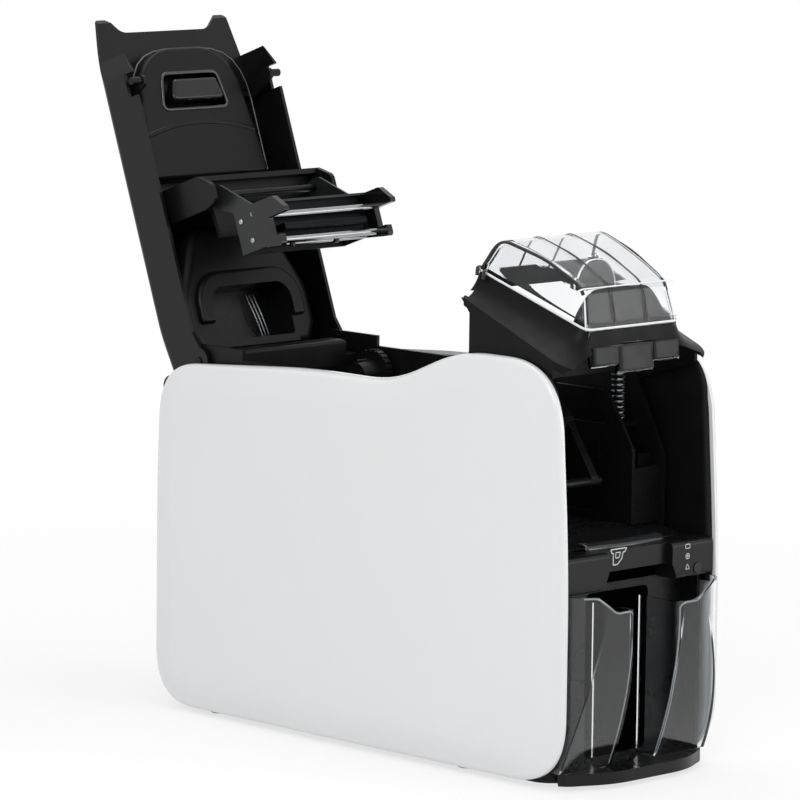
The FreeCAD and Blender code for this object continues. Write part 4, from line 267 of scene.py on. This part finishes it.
def metal(name, dark, pale, roughness, line_mm, axis, relief):
    """Ground or drawn metal: fine lines that run along the given axis, with a slow tarnish drift."""
    material, tree, place = start(name)
    stretch = [1000 / line_mm] * 3
    stretch["XYZ".index(axis)] = 1000 / (line_mm * LINE_STRETCH)
    mapped = add(tree, "ShaderNodeMapping", [("Vector", place)], Scale=stretch)
    lines = add(tree, "ShaderNodeTexNoise", [("Vector", mapped.outputs["Vector"])], Scale=1.0, Detail=3.0)
    tarnish = add(tree, "ShaderNodeTexNoise", [("Vector", place)], Scale=1000 / TARNISH_MM, Detail=3.0)
    colour = add(tree, "ShaderNodeMix", [(0, tarnish.outputs["Fac"])], [(COLOUR_A, dark), (COLOUR_B, pale)],
                 data_type="RGBA")
    gloss = add(tree, "ShaderNodeMapRange", [("Value", lines.outputs["Fac"])], interpolation_type="SMOOTHSTEP",
                From_Min=0.25, From_Max=0.75, To_Min=roughness * 0.7, To_Max=roughness * 1.4)
    bump = add(tree, "ShaderNodeBump", [("Height", lines.outputs["Fac"])], Strength=relief, Distance=LINE_DEPTH)
    shader = add(tree, "ShaderNodeBsdfPrincipled",
                 [("Base Color", colour.outputs[MIXED_COLOUR]), ("Roughness", gloss.outputs["Result"]),
                  ("Normal", bump.outputs["Normal"])], Metallic=1.0)
    add(tree, "ShaderNodeOutputMaterial", [("Surface", shader.outputs["BSDF"])])
    return material


nickel = metal("nickel_plated_steel", "#9da0a3", "#b6b9bb", 0.28, 0.25, "Y", 0.3)
dress(nickel, "data_socket")


# Pins and shafts: free-cutting steel ground to size, pressed or snapped into their bores; the hinge
# pins have a flat head. The grinding leaves fine lines, and black oxide turns some of them dark.
ground_steel = metal("ground_shaft_steel", "#8f9295", "#a9acaf", 0.3, 0.3, "X", 0.35)
black_oxide = metal("black_oxide_steel_pin", "#232425", "#303132", 0.35, 0.3, "X", 0.3)
dress(black_oxide, "hinge_pins", "carriage_pivot_pin", "latch_shaft")
dress(ground_steel, "feeder_pins", "pressure_arm_pin", "platen_shaft", "feed_shaft", "pick_shaft", "idler_axle",
      "motor_shaft", "pick_motor_shaft")


# Big top cover: black ABS shell with the liner, the arch-shaped stiffening frame, the head's bracket
# and the latch hooks snapped in behind it. The shell is satin, the liner finely grained and duller,
# and the release handle polished, so it is the one that glints.
lid_abs = plastic("black_abs_cover_satin", "#0c0c0d", "#121213", 0.3, 1.4, 0.12, sheen=0.22)
dress(lid_abs, "lid_shell")
liner_abs = plastic("black_abs_liner_fine_grain", "#0e0e0f", "#141415", 0.36, 0.8, 0.3, sheen=0.16)
dress(liner_abs, "lid_liner", "arch_frame", "head_bracket", "latch_hooks")
handle_abs = plastic("black_abs_handle_polished", "#0b0b0c", "#111112", 0.16, 1.5, 0.05, sheen=0.4)
dress(handle_abs, "release_handle")


# Trim of the cover's inside: a polished rim round the liner, the ridge across it, the frame round the
# release handle and the rib beside the liner, all moulded in black ABS and welded on. The polished
# edges draw thin grey lines on the black.
HINGE_Y, HINGE_Z = 151, 235
COVER_LEAN = math.radians(20)      # the open cover leans back from upright by this


def place_on_lid(across, e, n):
    """Points of the closed cover, e forward of its hinge and n above it, carried to the open cover (mm)."""
    across, e, n = np.broadcast_arrays(np.asarray(across, float), e, n)
    return np.stack([across, HINGE_Y + e * math.sin(COVER_LEAN) + n * math.cos(COVER_LEAN),
                     HINGE_Z + e * math.cos(COVER_LEAN) - n * math.sin(COVER_LEAN)], axis=-1)


def bead_grid(path, outward, width, height, sides=10):
    """Elliptical section (width across, height outward) carried along a path, shrunk to a point at both ends."""
    path = np.asarray(path, float)
    along = unit(np.gradient(path, axis=0))
    outward = np.broadcast_to(np.asarray(outward, float), path.shape)
    across = unit(np.cross(along, outward))
    lifted = np.cross(across, along)
    ends = [0] + list(range(len(path))) + [len(path) - 1]
    size = np.ones(len(ends))
    size[[0, -1]] = 0
    turn = np.linspace(0, 2 * math.pi, sides, endpoint=False)[None, :, None]
    section = width / 2 * np.cos(turn) * across[ends][:, None] + height / 2 * np.sin(turn) * lifted[ends][:, None]
    return path[ends][:, None] + size[:, None, None] * section


def bead(name, path, outward, width, height, material, body, sides=10):
    """Piece that is one bead along a path."""
    return surface(name, bead_grid(path, outward, width, height, sides), material, body, around=True)


polished_edge = plastic("black_abs_polished_rim", "#17181a", "#202122", 0.2, 1.5, 0.04, sheen=0.7)
lid_inward = place_on_lid(0, 0, -1) - place_on_lid(0, 0, 0)
liner_edge = rounded(place_on_lid([-52.4, -52.4, 52.4, 52.4], [130, 217.6, 217.6, 130], 18.4), 38)
bead("liner_rim", liner_edge, lid_inward, 1.3, 1.3, polished_edge, "lid")
half_width = np.linspace(-1, 1, 25)
ridge_path = place_on_lid(48 * half_width, 166 - 7.5 * half_width ** 2, 17.0)
bead("liner_ridge", ridge_path, lid_inward, 3.2, 1.2, liner_abs, "lid")
frame_path = rounded(place_on_lid([-24.5, 24.5, 29.5, -29.5], [200.6, 200.6, 175.6, 175.6], 16.9), 5, closed=True)
bead("handle_frame", frame_path, lid_inward, 2.4, 1.6, polished_edge, "lid", sides=14)
rib_path = place_on_lid(-46.0, np.linspace(127, 95, 12), 30.2)
bead("liner_side_rib", rib_path, lid_inward, 1.4, 1.6, polished_edge, "lid")


# Sensor leads in the recess of the arch-shaped frame: three thin wires of tinned copper, clipped side
# by side with a little sag. The tin shows as bright hairlines.
tinned = metal("tinned_copper_wire", "#85888b", "#a0a3a6", 0.3, 0.2, "Z", 0.2)
down = np.linspace(0, 1, 16)
sag = 2.0 * np.sin(math.pi * down)
for number, (top_x, foot_x) in enumerate([(14.5, 21.5), (17.6, 24.4), (21.0, 27.4)], start=1):
    lead = place_on_lid(top_x + (foot_x - top_x) * down - 0.6 * sag, 46 - 31 * down, 27.6 - sag)
    bead("sensor_lead_%d" % number, lead, lid_inward, 1.0, 1.0, tinned, "lid")


# Print head: a carriage folded from sheet steel, an extruded heat sink with the ceramic print line,
# moulded end caps and three ribbon rods pressed between them. Phosphate and anodising leave the steel
# and the aluminium a dull black, and the hard-chromed rods stand out bright against them.
black_steel = plastic("black_phosphated_sheet_steel", "#18191a", "#222324", 0.34, 0.5, 0.3, sheen=0.35)
dress(black_steel, "head_carriage")
anodised = metal("black_anodised_aluminium", "#17181a", "#212326", 0.4, 0.3, "X", 0.3)
dress(anodised, "print_head")
dress(handle_abs, "head_end_caps")
chrome = metal("hard_chromed_rod", "#8c8e91", "#a9abad", 0.14, 0.4, "X", 0.05)
dress(chrome, "guide_rods")


# Pan-head screws that hold the print head in its carriage: nickel-plated steel, turned with a rolled
# rim and a shallow dish in the middle, driven through the carriage's cheeks.
SCREW = [(0.0, 0.0), (1.7, 0.0), (1.75, 0.5), (1.45, 0.9), (0.8, 1.0), (0.6, 0.6), (0.0, 0.55)]
CHEEK_X = 46.05
HEAD_SCREWS = [(82.5, -62.0), (74.0, -63.5), (66.0, -56.5), (80.5, -49.5)]
for label, side in SIDES:
    for number, (e, n) in enumerate(HEAD_SCREWS, start=1):
        screw = turned_grid(place_on_lid(side * CHEEK_X, e, n), (side, 0, 0), SCREW)
        surface("head_screw_%s_%d" % (label, number), screw, nickel, "head", around=True)


# Contact comb along the print head: a row of 29 round-topped pins, pressed into the head's front
# face. A flash of gold keeps them bright, with a faint warm tint.
gold = metal("gold_flashed_contact", "#8f8a7c", "#b3ad9c", 0.25, 0.2, "Z", 0.1)
PIN = [(0.0, -1.5), (0.55, -1.5), (0.55, 0.7), (0.4, 1.0), (0.0, 1.1)]
pin_axis = place_on_lid(0, 1, 0) - place_on_lid(0, 0, 0)
comb = [turned_grid(place_on_lid(x, 83.2, -69.5), pin_axis, PIN, sides=8) for x in np.linspace(-36, 34, 29)]
surface("head_contact_comb", np.vstack(comb), gold, "head", around=True)


# Two spring clips that hold the thin ribbon rod to the head: black phosphated strip curled round the
# rod, seen as two dark bands across the bright metal.
CLIP_RADIUS = 2.0
curl = np.linspace(1.5, -0.6, 14) * math.pi
for number, x in enumerate((-24.0, 16.0), start=1):
    loop = place_on_lid(x, 59.5 + CLIP_RADIUS * np.cos(curl), -68 + CLIP_RADIUS * np.sin(curl))
    bead("rod_clip_%d" % number, loop, (1, 0, 0), 0.9, 4.0, black_steel, "head")


# Feeder cover: a black ABS skirt with a satin grain, a clear window moulded in polycarbonate and
# bonded on it, and a smoked half-round grip behind the window. The window shows what lies behind it
# and catches light only along its bends.
FLOW_MM = 30
VEIL = "#d4d8da"


def clear_plastic(name, tint, roughness, ior):
    """Clear moulding: refracting plastic that lets light through its shadow, faint flow lines in the gloss."""
    material, tree, place = start(name)
    flow = add(tree, "ShaderNodeTexNoise", [("Vector", place)], Scale=1000 / FLOW_MM, Detail=2.0)
    colour = add(tree, "ShaderNodeMix", [(0, flow.outputs["Fac"])], [(COLOUR_A, tint), (COLOUR_B, "#ffffff")],
                 data_type="RGBA")
    gloss = add(tree, "ShaderNodeMapRange", [("Value", flow.outputs["Fac"])], interpolation_type="SMOOTHSTEP",
                From_Min=0.3, From_Max=0.7, To_Min=roughness, To_Max=roughness * 2)
    shader = add(tree, "ShaderNodeBsdfPrincipled",
                 [("Base Color", colour.outputs[MIXED_COLOUR]), ("Roughness", gloss.outputs["Result"])],
                 Transmission_Weight=1.0, IOR=ior)
    veil = add(tree, "ShaderNodeBsdfTransparent", colours=[("Color", VEIL)])
    rays = add(tree, "ShaderNodeLightPath")
    mixed = add(tree, "ShaderNodeMixShader", [(0, rays.outputs["Is Shadow Ray"]), (1, shader.outputs["BSDF"]),
                                              (2, veil.outputs["BSDF"])])
    add(tree, "ShaderNodeOutputMaterial", [("Surface", mixed.outputs["Shader"])])
    return material


skirt_abs = plastic("black_abs_skirt_satin", "#0b0b0c", "#101011", 0.4, 1.2, 0.15, sheen=0.1)
dress(skirt_abs, "feeder_frame")
# Real polycarbonate bends light by an index near 1.58; the lower one keeps the bends as clear as the photo's.
clear_pc = clear_plastic("clear_polycarbonate", "#eef1f3", 0.015, 1.30)
dress(clear_pc, "feeder_window")
smoke_pc = plastic("smoked_polycarbonate_grip", "#131415", "#1b1c1d", 0.2, 2.0, 0.03, sheen=0.2)
dress(smoke_pc, "feeder_grip")


# Edge beads of the clear window: beads along its two long edges and two stiffening ribs over the
# top, dark with painted shade that stands in for the dark look refraction gives thick clear edges,
# and beads along the front edges, the brow and the bonding foot, near-white as painted highlights.
DOME_Y = np.array([-92.0, -104.0, -140.0, -171.0, -177.0])
DOME_Z = np.array([317.0, 338.0, 327.5, 311.0, 285.0])
DOME_FOOT_HALF, WIDER_BACKWARDS, NARROWER_UPWARDS = 52, 0.185, 0.18
DOME_CORNER_REACH = 9
FRONT_BEND_Y = -170.5
RIB_X = 14.5


def dome_half(y, z):
    """Half width of the window: full at its rear foot, narrower forwards and upwards."""
    return DOME_FOOT_HALF + WIDER_BACKWARDS * (y - DOME_Y[0]) - NARROWER_UPWARDS * (z - DOME_Z[0])


def dome_line(share, sink):
    """Line over the window at a share of its half width, sunk below its skin."""
    run = np.stack([np.zeros(len(DOME_Y)), DOME_Y, DOME_Z], axis=-1)
    run[:, 0] = share * (dome_half(DOME_Y, DOME_Z) - sink)
    along = unit(np.gradient(run, axis=0))
    run[:, 1] -= sink * along[:, 2]
    run[:, 2] += sink * along[:, 1]
    return rounded(run, DOME_CORNER_REACH)


# Dark colour on the clear window's edge beads and ribs: painted shade for the dark look of refraction.
dark_edge_paint = plastic("polycarbonate_painted_dark_edge", "#101112", "#191a1b", 0.16, 2.0, 0.02, sheen=0.4)
# Near-white colour on the window's front edges, brow, foot and grip rim: painted highlights.
highlight_paint = plastic("polycarbonate_painted_highlight", "#e9ebec", "#f3f4f5", 0.35, 0.8, 0.1)
for label, side in SIDES:
    line = dome_line(side, 1.7)
    over, front = line[line[:, 1] > FRONT_BEND_Y], line[line[:, 1] <= FRONT_BEND_Y]
    bead("window_edge_" + label, over, (side, 0, 0.6), 2.3, 2.0, dark_edge_paint, "feeder")
    bead("window_front_edge_" + label, front, (side, -0.6, 0), 1.2, 1.2, highlight_paint, "feeder")
brow = rounded([(-43.5, -170.6, 309.0), (-40.0, -170.9, 310.3), (40.0, -170.9, 310.3), (43.5, -170.6, 309.0)], 2)
bead("window_brow", brow, (0, -0.7, 0.7), 1.0, 0.8, highlight_paint, "feeder")
for label, side in SIDES:
    line = dome_line(0.33 * side, 0.4)
    line[:, 0] = side * RIB_X
    bead("window_rib_" + label, line, (0, -0.7, 0.7), 1.9, 1.3, dark_edge_paint, "feeder")
foot_half = dome_half(DOME_Y[-1], DOME_Z[-1]) + 0.5
foot_line = rounded([(-52.4, -93, 317.2), (-foot_half, -177.6, 285.6), (foot_half, -177.6, 285.6),
                     (52.4, -93, 317.2)], 6)
bead("window_foot", foot_line, (0, -0.35, 0.94), 1.2, 1.6, highlight_paint, "feeder")


# Shade sheet inside the window: a thin black plate with an arched top, bent forward at its foot on
# the skirt, put behind the front face as painted shade that darkens it like the shadowed inside of
# the cover. It has the skirt's satin grain and looks grey through the window.
SHEET_HALF, SHEET_FOOT_Z, SHEET_TOP_Z = 40.5, 279.5, 308.5
SHEET_FOOT_Y, SHEET_FOOT_RUN, SHEET_BEND = -176.4, 11.4, 0.25


def shade_sheet_grid():
    """Grid over width and height: the foot runs back from the skirt, then the plate rises to its top,
    which falls by 1.5 s^2 to the sides and by up to 18 mm over the last 18.5 mm of each half."""
    rise = np.linspace(0, 1, 16)[:, None]
    across = np.linspace(-1, 1, 31)[None, :]
    shoulder = np.clip((np.abs(across) * SHEET_HALF - 22) / 18.5, 0, 1)
    top = SHEET_TOP_Z - 1.5 * across ** 2 - 18 * shoulder ** 1.6
    y = SHEET_FOOT_Y + SHEET_FOOT_RUN * np.clip(rise / SHEET_BEND, 0, 1) + 0 * across
    z = SHEET_FOOT_Z + (top - SHEET_FOOT_Z) * np.clip((rise - SHEET_BEND) / (1 - SHEET_BEND), 0, 1)
    return np.stack([SHEET_HALF * across + 0 * rise, y, z], axis=-1)


# A black sheet as painted shade behind the window's front face.
surface("window_shade_sheet", shade_sheet_grid(), skirt_abs, "feeder", wall=1.6)


# Finger grip over the shade sheet: a half-round tab of smoked polycarbonate, with a near-white bead
# round its rim that is a painted highlight and draws a bright arc round the dark tab.
GRIP_CENTRE, GRIP_RADIUS = np.array([0, -144.2, 306.0]), 17.4
grip_turn = np.linspace(0, math.pi, 33)
grip_rim = GRIP_CENTRE + GRIP_RADIUS * np.stack([np.cos(grip_turn), 0 * grip_turn, np.sin(grip_turn)], axis=-1)
grip_face = np.stack([GRIP_CENTRE + [0, 0.2, 0] + share * (grip_rim - GRIP_CENTRE)
                      for share in np.linspace(0, 1, 6)])
surface("grip_face", grip_face, smoke_pc, "feeder", wall=1.0)
bead("grip_rim", grip_rim, (0, -1, 0), 1.1, 1.6, highlight_paint, "feeder")


# Lip strips under the window: three translucent tongues, moulded side by side and hot-riveted to the
# skirt, that keep dust out of the card slot when the cover is shut. They look a soft dark grey.
lip_grey = plastic("grey_translucent_lip", "#1b1c1d", "#242526", 0.3, 1.2, 0.06, sheen=0.2)
LIP_TOP_Z, LIP_Y = 274.5, -179.9
LIPS = [(-38.5, -16.2, 263.5), (-15.4, 15.4, 258.0), (16.2, 38.5, 263.5)]      # low x, high x, foot z


def lip_strip(low_x, high_x, foot_z):
    """Grid of one tongue: it drops from the top to its foot, leans forward by 1 mm and bows out by 0.5 mm."""
    drop = np.linspace(0, 1, 12)[:, None]
    across = np.linspace(-1, 1, 9)[None, :]
    x = (low_x + high_x) / 2 + (high_x - low_x) / 2 * across + 0 * drop
    y = LIP_Y - 1.0 * drop - 0.5 * (1 - across ** 2) * drop
    z = LIP_TOP_Z + (foot_z - LIP_TOP_Z) * drop + 0 * across
    return np.stack([x, y, z], axis=-1)


for number, sizes in enumerate(LIPS, start=1):
    surface("lip_strip_%d" % number, lip_strip(*sizes), lip_grey, "feeder", wall=1.0)


# Snap clips at the rear foot of the window: two small hooks a side, moulded in one with its edge
# and sprung over the skirt, dark with the same painted shade as the edge beads.
FOOT_SLOPE = 32 / 85
for label, side in SIDES:
    for number, y in enumerate((-95.0, -100.5), start=1):
        z = DOME_Z[0] + (y - DOME_Y[0]) * FOOT_SLOPE
        hook = rounded([(side * 52.5, y, z + 3.2), (side * 54.6, y, z + 2.6), (side * 55.2, y, z - 2.5)], 1.0)
        bead("window_clip_%s_%d" % (label, number), hook, (0, 1, 0), 1.3, 3.0, dark_edge_paint, "feeder")


# Card path: bed, chute, guides and pressing arm moulded in black acetal and snapped between the side
# frames, a wound spring, and a spring-steel strip that holds the card pack sideways. Acetal is waxy
# and dull, the drawn spring wire bright, and the strip is blued and nearly black.
acetal = plastic("black_acetal_low_friction", "#0e0e0f", "#151516", 0.3, 0.7, 0.15, sheen=0.2)
dress(acetal, "card_bed", "feed_chute", "hopper_guides", "pressure_arm")
spring_steel = metal("spring_steel_wire", "#8b8d90", "#a5a8ab", 0.22, 0.2, "X", 0.2)
dress(spring_steel, "feeder_spring")
blued_steel = metal("blued_steel_strip", "#202224", "#2d2f32", 0.4, 0.2, "X", 0.2)
dress(blued_steel, "guide_strip")


# Inner linings of the front mouth: thin black ABS sheets, die-cut and clipped into the rims of the
# side panels, with the chassis' own grain, so the mouth looks black all the way in.
LINING_X, LINING_REAR_Y = 67.0, -114.5
LINING_LOW_Z, LINING_HIGH_Z = 118, 260
LINING_ROUND = 24


def lining(side):
    """Grid over height and depth: the front edge leans back by 8.5 mm over 127.5 mm of height, and its
    top is a round of 24 mm, so that it keeps 3 mm inside the panel."""
    z = np.linspace(LINING_LOW_Z, LINING_HIGH_Z, 40)[:, None]
    back = np.linspace(0, 1, 12)[None, :]
    front = -186.6 + 8.5 * np.clip((z - 140) / 127.5, 0, 1)
    corner = LINING_ROUND - np.sqrt(LINING_ROUND ** 2 - np.clip(z - 240, 0, 22) ** 2)
    y = front + corner + (LINING_REAR_Y - front - corner) * back
    return np.stack([side * LINING_X + 0 * y, y, z + 0 * back], axis=-1)


for label, side in SIDES:
    surface("mouth_lining_" + label, lining(side), black_abs, "body", wall=0.8)


# Feed guide over the card slot: a curved strip of smoky clear polycarbonate, moulded and clipped on
# the chute between the end blocks. It lies low enough for the feeder cover to swing over it.
GUIDE_HALF, GUIDE_Y, GUIDE_Z = 36, -174.0, 147.0


def feed_guide():
    """Grid over width x and turn t: y = 7 (1 - cos t) less a bow of 3.5 mm in the middle, z = 3.2 sin t."""
    turn = np.linspace(-0.15, 0.5, 14)[:, None] * math.pi
    across = np.linspace(-GUIDE_HALF, GUIDE_HALF, 25)[None, :]
    y = GUIDE_Y + 7.0 * (1 - np.cos(turn)) - 3.5 * (1 - (across / GUIDE_HALF) ** 2)
    z = GUIDE_Z + 3.2 * np.sin(turn) + 0 * across
    return np.stack([across + 0 * turn, y, z], axis=-1)


guide_pc = plastic("smoky_polycarbonate_guide", "#222425", "#313335", 0.14, 1.5, 0.02, sheen=0.5)
surface("feed_guide", feed_guide(), guide_pc, "body", wall=1.0)


# Rollers: silicone rubber sleeves, cured on their shafts and ground true. The grinding leaves them
# dark grey and dull.
sleeve = plastic("ground_silicone_rubber", "#2b2c2e", "#37383a", 0.75, 0.4, 0.4, sheen=0.3)
dress(sleeve, "platen_roller", "feed_roller", "pick_roller")


# Gear train and motors: spur gears moulded in natural acetal, which is a warm off-white and half
# dull, pressed on their shafts, and stepper motors in deep-drawn cans with a grey zinc plating,
# screwed to the side frame.
gear_acetal = plastic("natural_acetal_gears", "#d8d4c8", "#e4e1d6", 0.35, 0.6, 0.15)
dress(gear_acetal, "idler_gear", "platen_gear", "feed_gear", "motor_pinion", "pick_gear", "pick_pinion")
zinc = metal("zinc_plated_motor_can", "#55585b", "#6c6f72", 0.35, 0.3, "X", 0.25)
dress(zinc, "drive_motor", "pick_motor")


# Ribbon hubs: knurled discs moulded in the same fine-grained black ABS as the liner. They snap into
# the side frame and turn the ribbon cores.
dress(liner_abs, "ribbon_supply_hub", "ribbon_takeup_hub")


# Front bezel, output base and power button: satin black ABS like the cover, screwed to the tray, with
# a polished cap on the button.
dress(lid_abs, "front_bezel", "output_base")
dress(handle_abs, "power_button")


# Pictograms pad-printed in white ink on the front: a card with an arrow at the slot, and beside the
# button a card, a ribbon spool and a triangle. They are generic signs in a flat chalky white, drawn
# as low beads 0.16 mm thick.
ink = plastic("white_pad_printing_ink", "#c9cbcc", "#d6d8d9", 0.5, 0.5, 0.1)
INK_HEIGHT = 0.16
SLOT_FACE_Y, BLOCK_FACE_Y = -183.0, -188.0


def sign(name, points, y, width=0.45, reach=0.5):
    """Closed printed line through (x, z) points in mm on a plane facing the front."""
    path = rounded([(x, y, z) for x, z in points], reach, closed=True)
    bead(name, path, (0, -1, 0), width, INK_HEIGHT, ink, "body", sides=6)


def ring_points(x, z, radius, count=16):
    """Points evenly round a circle."""
    turn = np.linspace(0, 2 * math.pi, count, endpoint=False)
    return np.stack([x + radius * np.cos(turn), z + radius * np.sin(turn)], axis=-1)


sign("slot_sign", [(-22.6, 147.2), (-8.2, 147.2), (-9.6, 144.8), (-11.4, 144.8), (-12.4, 140.8), (-16.4, 137.4),
                   (-20.2, 137.4), (-20.2, 144.8), (-21.4, 144.8)], SLOT_FACE_Y, width=0.7)
sign("slot_arrow", [(-18.0, 145.0), (-13.8, 145.0), (-15.0, 141.6), (-18.0, 141.6)], SLOT_FACE_Y, width=0.6)
sign("card_sign", [(41.0, 141.8), (45.0, 141.8), (45.0, 144.4), (41.0, 144.4)], BLOCK_FACE_Y)
sign("spool_sign", ring_points(43.0, 136.8, 1.7), BLOCK_FACE_Y, reach=0.3)
sign("spool_core_sign", ring_points(43.0, 136.8, 0.6), BLOCK_FACE_Y, reach=0.1)
sign("triangle_sign", [(41.2, 128.6), (44.8, 128.6), (43.0, 131.8)], BLOCK_FACE_Y)


# Rear cover screws: four pan-head screws in phosphated steel, as black as the cover, driven near its
# corners and set 0.2 mm into its face.
REAR_SCREW_Y = 184.6
for number, (x, z) in enumerate([(-58, 36), (58, 36), (-58, 196), (58, 196)], start=1):
    screw = turned_grid((x, REAR_SCREW_Y, z), (0, 1, 0), SCREW)
    surface("rear_screw_%d" % number, screw, black_steel, "body", around=True)


# Output bin windows: thick shells moulded in clear styrene and hooked between the base and the bezel.
# They bend light more than the feeder's window, so they look a little greyer.
clear_styrene = clear_plastic("clear_styrene_bin", "#eceff1", 0.02, 1.40)
dress(clear_styrene, "bin_window_right", "bin_window_left")


# Rims of the output bins: the rolled inner corner and top lip of each clear shell, moulded in one
# with it. A pale grey bead there is a painted highlight that draws a light line round the bin.
BIN_BOW_Z, BIN_BOW_Y = [10.8, 60, 112], [-184, -199, -203.5]


def bin_rim(side):
    """Path in the shell's wall: a parabola through the bow's three points, up the corner, then the lip."""
    z = np.linspace(12.5, 108, 40)
    bow = np.polyval(np.polyfit(BIN_BOW_Z, BIN_BOW_Y, 2), z)
    corner = np.column_stack([21.9 + 0 * z, bow + 1.9, z])
    lip = rounded([corner[-1], (23.4, -202.2, 111.2), (37, -202.4, 111.2), (52.5, -200.9, 122.1),
                   (60.0, -196.3, 122.1)], 3)
    return np.vstack([corner, lip[1:]]) * [side, 1, 1]


# Pale grey on the bin rims: painted highlight.
rim_highlight_paint = plastic("styrene_rim_painted_highlight", "#7d8285", "#a3a8ab", 0.18, 2.0, 0.03, sheen=0.8)
for label, side in SIDES:
    bead("bin_rim_" + label, bin_rim(side), (0, -1, 0), 1.1, 1.1, rim_highlight_paint, "body")


# Studio floor: a broad sheet of white paper under the part. It shows the part's shadow near it, and
# for the camera, metal and glass it shades over to plain white from 1.2 m outwards.
FLOOR_HALF, FLOOR_Z = 15.0, -0.0002


def seen_white(tree):
    """1 for rays from the camera, off glossy metal or through clear plastic, 0 for the light on the object."""
    rays = add(tree, "ShaderNodeLightPath").outputs
    direct = add(tree, "ShaderNodeMath", [(0, rays["Is Camera Ray"]), (1, rays["Is Transmission Ray"])],
                 operation="MAXIMUM")
    return add(tree, "ShaderNodeMath", [(0, direct.outputs["Value"]), (1, rays["Is Glossy Ray"])],
               operation="MAXIMUM").outputs["Value"]


floor_mesh = bpy.data.meshes.new("studio_floor")
floor_mesh.from_pydata([(x * FLOOR_HALF, y * FLOOR_HALF, FLOOR_Z) for x, y in ((-1, -1), (1, -1), (1, 1), (-1, 1))],
                       [], [(0, 1, 2, 3)])
floor = bpy.data.objects.new("studio_floor", floor_mesh)
bpy.context.scene.collection.objects.link(floor)
floor_paper, tree, place = start("white_paper_floor")
paper = add(tree, "ShaderNodeBsdfDiffuse", colours=[("Color", "#fbfbfb")])
glow = add(tree, "ShaderNodeEmission", colours=[("Color", "#ffffff")], Strength=1.0)
from_middle = add(tree, "ShaderNodeVectorMath", [(0, place)], operation="LENGTH")
glow_share = add(tree, "ShaderNodeMapRange", [("Value", from_middle.outputs["Value"])],
                 interpolation_type="SMOOTHSTEP", From_Min=0.25, From_Max=1.2, To_Min=0.72, To_Max=1.0)
share = add(tree, "ShaderNodeMath", [(0, seen_white(tree)), (1, glow_share.outputs["Result"])], operation="MULTIPLY")
both = add(tree, "ShaderNodeMixShader", [(0, share.outputs["Value"]), (1, paper.outputs["BSDF"]),
                                         (2, glow.outputs["Emission"])])
add(tree, "ShaderNodeOutputMaterial", [("Surface", both.outputs["Shader"])])
floor_mesh.materials.append(floor_paper)


# Studio air: dim white light from all round on the part, while the camera, metal and glass see plain
# white behind it.
world = bpy.data.worlds.new("studio")
bpy.context.scene.world = world
world.use_nodes = True
tree = world.node_tree
tree.nodes.clear()
open_air = add(tree, "ShaderNodeBackground", colours=[("Color", "#f6f7f8")], Strength=0.55)
white = add(tree, "ShaderNodeBackground", colours=[("Color", "#ffffff")], Strength=1.0)
both = add(tree, "ShaderNodeMixShader", [(0, seen_white(tree)), (1, open_air.outputs["Background"]),
                                         (2, white.outputs["Background"])])
add(tree, "ShaderNodeOutputWorld", [("Surface", both.outputs["Shader"])])


# Studio lamps: soft boxes to the right and above, and two low ones that draw highlights on the clear
# pieces at the front. Places and sizes in metres, power in watts.
def lamp(name, place, target, width, height, power):
    """Soft rectangular lamp aimed at a point, unseen by the camera."""
    data = bpy.data.lights.new(name, "AREA")
    data.shape = "RECTANGLE"
    data.size, data.size_y, data.energy = width, height, power
    made = bpy.data.objects.new(name, data)
    made.location = place
    made.rotation_euler = (Vector(target) - Vector(place)).to_track_quat("-Z", "Y").to_euler()
    made.visible_camera = False
    bpy.context.scene.collection.objects.link(made)


lamp("key_softbox", (-1.9, -1.1, 1.7), (0, 0, 0.15), 1.2, 1.2, 21)
lamp("top_softbox", (0.2, 0.2, 2.2), (0, 0, 0.1), 1.6, 1.6, 16)
lamp("low_front", (1.15, -1.35, 0.36), (0, -0.2, 0.10), 0.45, 0.70, 2)
lamp("front_strip", (0.9, -2.0, 0.9), (0, -0.1, 0.15), 0.5, 1.4, 8)


# Camera: fitted to the photo, from its angle round the part, its lift, its roll and its distance from
# the aim point, which lies aside and above the middle of the part.
AZIMUTH, LIFT, ROLL = math.radians(-44.54), math.radians(7.87), math.radians(0.70)
FOCAL_PX, PICTURE_PX, SENSOR_MM = 5092.95, 800, 36.0
AIM_MIDDLE, AIM_ASIDE, AIM_HEIGHT, DISTANCE = np.array([0, 0, 0.125]), -0.0198, 0.09353, 3.3110
back = np.array([math.sin(AZIMUTH) * math.cos(LIFT), -math.cos(AZIMUTH) * math.cos(LIFT), math.sin(LIFT)])
right = np.array([math.cos(AZIMUTH), math.sin(AZIMUTH), 0.0])
up = np.cross(back, right)
turned_right = math.cos(ROLL) * right + math.sin(ROLL) * up
turned_up = -math.sin(ROLL) * right + math.cos(ROLL) * up
eye = AIM_MIDDLE + AIM_ASIDE * right + AIM_HEIGHT * up + DISTANCE * back
camera_data = bpy.data.cameras.new("camera")
camera_data.sensor_width = SENSOR_MM
camera_data.lens = FOCAL_PX * SENSOR_MM / PICTURE_PX
camera = bpy.data.objects.new("camera", camera_data)
stand = np.eye(4)
stand[:3] = np.column_stack([turned_right, turned_up, back, eye])
camera.matrix_world = Matrix(stand.tolist())
bpy.context.scene.collection.objects.link(camera)
bpy.context.scene.camera = camera
bpy.context.scene.view_settings.view_transform = "Standard"
